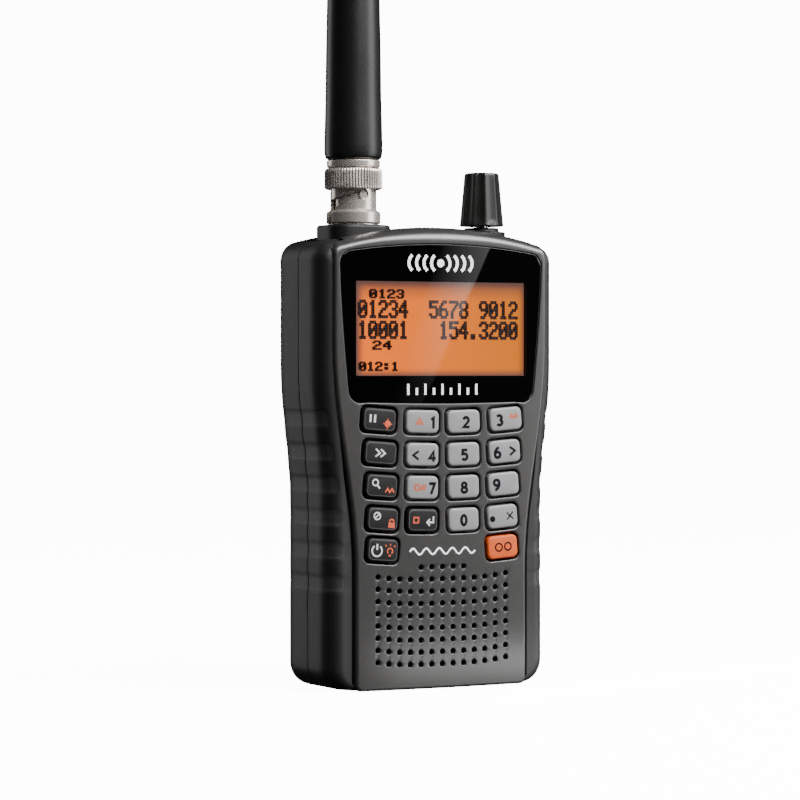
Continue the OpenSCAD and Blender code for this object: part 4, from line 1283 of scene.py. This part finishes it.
def door_fall(inward):
    """Drop of the door's rounded edge at a distance in from it."""
    return DOOR_EDGE * fillet_drop(DOOR_EDGE - inward, DOOR_EDGE) if inward < DOOR_EDGE else 0


def build_door():
    low, high = box_mm("battery_door")
    half, top, bottom = high[0] - 1.0, high[2], low[2]

    def outside(z):
        return BACK_Y - 6 + math.sqrt(max(0, 36 - max(0, BASE_Z + 6 - z) ** 2))

    shell = Shell()
    rows = [bottom + 0.15] + turn(bottom + 0.5, 6.6, 6) + turn(8, top - 0.6, 24)
    rows += [top - 0.35, top - 0.15, top - 0.05, top]
    rim_xs = [half, half - 0.04, half - 0.12, half - DOOR_EDGE]
    xs = [-x for x in rim_xs] + turn(-half + 1, half - 1, 36) + rim_xs[::-1]
    loops = []
    for z in rows:
        face = outside(z) - 0.02
        back = DOOR_INNER_Y if z > 3 else min(DOOR_INNER_Y, face - 0.3)
        outer = [(x, face - max(door_fall(half - abs(x)), door_fall(top - z)), z) for x in xs]
        loops.append(outer + [(x, back, z) for x in reversed(xs)])
    shell.rings(loops, cap_start=True, cap_end=True)
    body = shell.mesh("door")
    ridges = []
    for i in range(6):
        z = 76.5 - i * 1.8
        wide = 13 - i * 1.5
        ridges.append(slab(lambda g: rounded_loop(0, z, wide, 0.95, 0.45, g, 0, 4, 2), BACK_Y - 0.3,
                           BACK_Y + 0.3, facing_y, 0, 0.28))
    arrow = Shell()
    arrow.rings([facing_y(y, [(-2.6 + g, 62.5 - g), (2.6 - g, 62.5 - g), (0, 59.2 + g * 1.6)]) for y, g in
                 ((BACK_Y - 0.3, 0), (BACK_Y + 0.12, 0), (BACK_Y + 0.2, 0.15))], cap_start=True, cap_end=True)
    rails = [box_mesh((x0, DOOR_INNER_Y, 6), (x1, DOOR_INNER_Y + 0.9, top - 1), 0.1)
             for x0, x1 in ((-half - 0.95, -half + 0.2), (half - 0.2, half + 0.95))]
    return join([body, arrow.mesh("arrow")] + ridges + rails, "door")


place(build_door(), "door_plate", "battery_door", SOFT_BLACK, ["battery_door"], "case_plastic")

CLIP_Y, CLIP_Z = middle("clip_pin")[1], middle("clip_pin")[2]


def build_clip_mount():
    high = box_mm("clip_mount")[1]
    plate = slab(lambda g: rounded_loop(0, 96, 24, 22, 3, g), BACK_Y + 0.01, BACK_Y + 2, facing_y, 0.0, 0.5)
    ears = []
    for s in (-1, 1):
        x = s * (high[0] - 1.1)

        def ear(g):
            r = 2.2 - g
            lower = [(BACK_Y + 1.2, CLIP_Z - r - 1.4), (BACK_Y + 1.2, CLIP_Z + r + 0.8)]
            return lower + arc(CLIP_Y, CLIP_Z, r, 90, -90, 16)
        ears.append(slab(ear, x - 1.1, x + 1.1, facing_x, 0.3, 0.3))
    return join([plate] + ears, "clip_mount")


place(build_clip_mount(), "clip_base", "case", CLIP_PLASTIC, ["clip_mount"], "clip_plastic")


def build_clip():
    low, high = box_mm("belt_clip")
    half, back = high[0], high[1]
    top, bottom = high[2], low[2]
    arm_y = back - 2

    def outline(g):
        r = 3.5 - g
        w0, w1 = half - g, half - 1.2 - g
        loop = arc(w0 - r, top - g - r, r, 0, 90, 6) + arc(-w0 + r, top - g - r, r, 90, 180, 6)
        loop += [(-mix(w0, w1, t), mix(top - 14, bottom + 8, t)) for t in turn(0, 1, 6)]
        loop += arc(-w1 + r, bottom + g + r, r, 180, 270, 6) + arc(w1 - r, bottom + g + r, r, 270, 360, 6)
        loop += [(mix(w1, w0, t), mix(bottom + 8, top - 14, t)) for t in turn(0, 1, 6)]
        return loop
    arm = slab(outline, arm_y, back - 0.45, facing_y, 0.4, 0.4)
    rib = Shell()
    levels = ((back - 0.6, 0.0), (back - 0.12, 0.0), (back, 0.14))
    frame_out = [facing_y(y, rounded_loop(0, 76, 12.5 - 2 * g, 36 - 2 * g, 3, 0)) for y, g in levels]
    frame_in = [facing_y(y, rounded_loop(0, 76, 10.9 + 2 * g, 34.4 + 2 * g, 2.4, 0))
                for y, g in reversed(levels)]
    made = rib.rings(frame_out + frame_in)
    rib.bridge(made[-1], made[0])
    grooves = [slab(lambda g: rounded_loop(0, z, 11, 0.7, 0.3, g, 0, 3, 1), back - 0.6, back, facing_y, 0, 0.2)
               for z in (100.3, 101.8, 103.3)]
    barrels = [rod_x(CLIP_Y, CLIP_Z, softened([(1.05, x0), (2.2, x0, 0.25), (2.2, x1, 0.25), (1.05, x1)], 0.2))
               for x0, x1 in ((-half + 0.05, -2.6), (2.6, half - 0.05))]
    webs = [box_mesh((x0, CLIP_Y - 0.4, CLIP_Z - 2.1), (x1, arm_y + 0.4, CLIP_Z + 2.1), 0.15) for x0, x1 in
            ((-half + 0.1, -2.65), (2.65, half - 0.1))]
    foot_y, foot_w = (low[1] + arm_y + 1) / 2, arm_y + 1 - low[1]
    foot = slab(lambda g: rounded_loop(foot_y, bottom + 1.2, foot_w, 2.4, 0.9, g, 0, 5, 2), -half + 1.25,
                half - 1.25, facing_x, 0.4, 0.4)
    slot_tool = box_mesh((-2.6, CLIP_Y - 4, CLIP_Z - 8), (2.6, CLIP_Y + 2.2, CLIP_Z + 3), 0.05)
    return join([cut(arm, [slot_tool]), rib.mesh("rib"), foot] + grooves + barrels + webs, "clip")


place(build_clip(), "clip_arm", "belt_clip", CLIP_PLASTIC, ["belt_clip"], "clip_plastic")


# ---------------------------------------------------------------- floor, lights and camera
def backdrop():
    """Pale floor. Glossy parts don't mirror it, so black plastic stays black, as in the studio picture."""
    shell = Shell()
    shell.rings([facing_z(0, circle_loop(0, 0, r, 96)) for r in (60000, 8000, 1500, 400, 100)], cap_end=True)
    mesh = shell.mesh("floor")
    s = Surface("pale_floor")
    s.set("Base Color", s.blend(s.between(s.noise(6, 3.0), 0, 1), (0.92, 0.92, 0.92), (0.94, 0.94, 0.94)))
    s.set("Roughness", 0.9)
    s.set("Specular IOR Level", 0.1)
    s.set("Emission Color", (1, 1, 1, 1))
    s.set("Emission Strength", 12.5)
    mesh.materials.append(s.material)
    floor = bpy.data.objects.new("floor", mesh)
    bpy.context.scene.collection.objects.link(floor)
    floor.visible_glossy = floor.visible_diffuse = False


def studio_world(seen, ambient, mirrored_level):
    """Pale surroundings, with one strength seen, one lighting rough surfaces and one mirrored."""
    world = bpy.data.worlds.new("studio")
    bpy.context.scene.world = world
    world.use_nodes = True
    nodes, links = world.node_tree.nodes, world.node_tree.links
    ray = nodes.new("ShaderNodeLightPath")
    output = nodes["World Output"]
    levels = {}
    for key, strength in (("seen", seen), ("ambient", ambient), ("mirrored", mirrored_level)):
        node = nodes.new("ShaderNodeBackground")
        node.inputs["Color"].default_value = (1, 1, 1, 1)
        node.inputs["Strength"].default_value = strength
        levels[key] = node.outputs["Background"]
    glossy, seen_mix = nodes.new("ShaderNodeMixShader"), nodes.new("ShaderNodeMixShader")
    links.new(ray.outputs["Is Glossy Ray"], glossy.inputs["Fac"])
    links.new(levels["ambient"], glossy.inputs[1])
    links.new(levels["mirrored"], glossy.inputs[2])
    links.new(ray.outputs["Is Camera Ray"], seen_mix.inputs["Fac"])
    links.new(glossy.outputs[0], seen_mix.inputs[1])
    links.new(levels["seen"], seen_mix.inputs[2])
    links.new(seen_mix.outputs[0], output.inputs["Surface"])


def soft_light(name, place_mm, aim_mm, size_mm, radiance):
    """A rectangle of light at one place, turned toward another."""
    data = bpy.data.lights.new(name, "AREA")
    data.shape = "RECTANGLE"
    data.size, data.size_y = size_mm[0] * MM, size_mm[1] * MM
    data.energy = radiance * math.pi * data.size * data.size_y
    lamp = bpy.data.objects.new(name, data)
    bpy.context.scene.collection.objects.link(lamp)
    lamp.location = Vector(place_mm) * MM
    aim = (Vector(aim_mm) - Vector(place_mm)).normalized()
    lamp.rotation_euler = aim.to_track_quat("-Z", "Y").to_euler()
    return lamp


backdrop()
studio_world(seen=13.0, ambient=0.25, mirrored_level=0.02)


def lit_from(name, azimuth, elevation, distance, size, radiance):
    """A soft box round the object: azimuth 0 is in front of it and 90 on its right side."""
    a, e = math.radians(azimuth), math.radians(elevation)
    way = Vector((math.sin(a) * math.cos(e), -math.cos(a) * math.cos(e), math.sin(e)))
    target = Vector((0, 0, 90))
    return soft_light(name, target + way * distance, target, size, radiance)


lit_from("front_right_box", azimuth=52, elevation=10, distance=300, size=(150, 300), radiance=4.9)
lit_from("overhead_box", azimuth=32, elevation=42, distance=900, size=(1100, 420), radiance=20)
lit_from("rear_left_box", azimuth=-150, elevation=10, distance=900, size=(400, 900), radiance=1.8)
low_card = soft_light("low_card", (62, -27, 4.2), (58, -16, 4.2), (130, 7), radiance=5.0)
low_card.visible_camera = False


def sheen_card():
    """A small card that the display window mirrors: brightest along one slanted edge."""
    shell = Shell()
    corners = [(150, 62), (201.5, 62), (241.5, 145), (150, 145)]
    shell.faces.append(tuple(shell.ring([(x, -400, z) for x, z in corners])))
    mesh = shell.mesh("card")
    s = Surface("card_light")
    split = s.add("ShaderNodeSeparateXYZ")
    s.link(s.place, split.inputs["Vector"])
    lean = s.add("ShaderNodeMath", operation="MULTIPLY_ADD")
    s.link(split.outputs["Z"], lean.inputs[0])
    lean.inputs[1].default_value = -0.35
    s.link(split.outputs["X"], lean.inputs[2])
    across = s.between(lean.outputs[0], 0, 1, 0.166, 0.196)
    upward = s.between(split.outputs["Z"], 0.15, 1, 0.07, 0.13)
    both = s.add("ShaderNodeMath", operation="MULTIPLY")
    s.link(across, both.inputs[0])
    s.link(upward, both.inputs[1])
    s.set("Base Color", (0, 0, 0, 1))
    s.set("Specular IOR Level", 0.0)
    s.set("Emission Color", s.blend(both.outputs[0], (0, 0, 0), (1, 1, 1)))
    s.set("Emission Strength", 2.6)
    mesh.materials.append(s.material)
    card = bpy.data.objects.new("card", mesh)
    bpy.context.scene.collection.objects.link(card)
    card.visible_camera = card.visible_diffuse = card.visible_shadow = False


sheen_card()

camera_data = bpy.data.cameras.new("camera")
camera_data.lens, camera_data.sensor_width = 144, 36
camera_data.clip_start, camera_data.clip_end = 0.05, 20
camera = bpy.data.objects.new("camera", camera_data)
bpy.context.scene.collection.objects.link(camera)
EYE_MM = (-381.8, -708.7, 78.7)
camera.location = Vector(EYE_MM) * MM
turn_by, drop_by = math.radians(28.1), math.radians(0.514)
flat = math.cos(drop_by)
sight = Vector((math.sin(turn_by) * flat, math.cos(turn_by) * flat, -math.sin(drop_by)))
camera.rotation_euler = sight.to_track_quat("-Z", "Y").to_euler()
bpy.context.scene.camera = camera
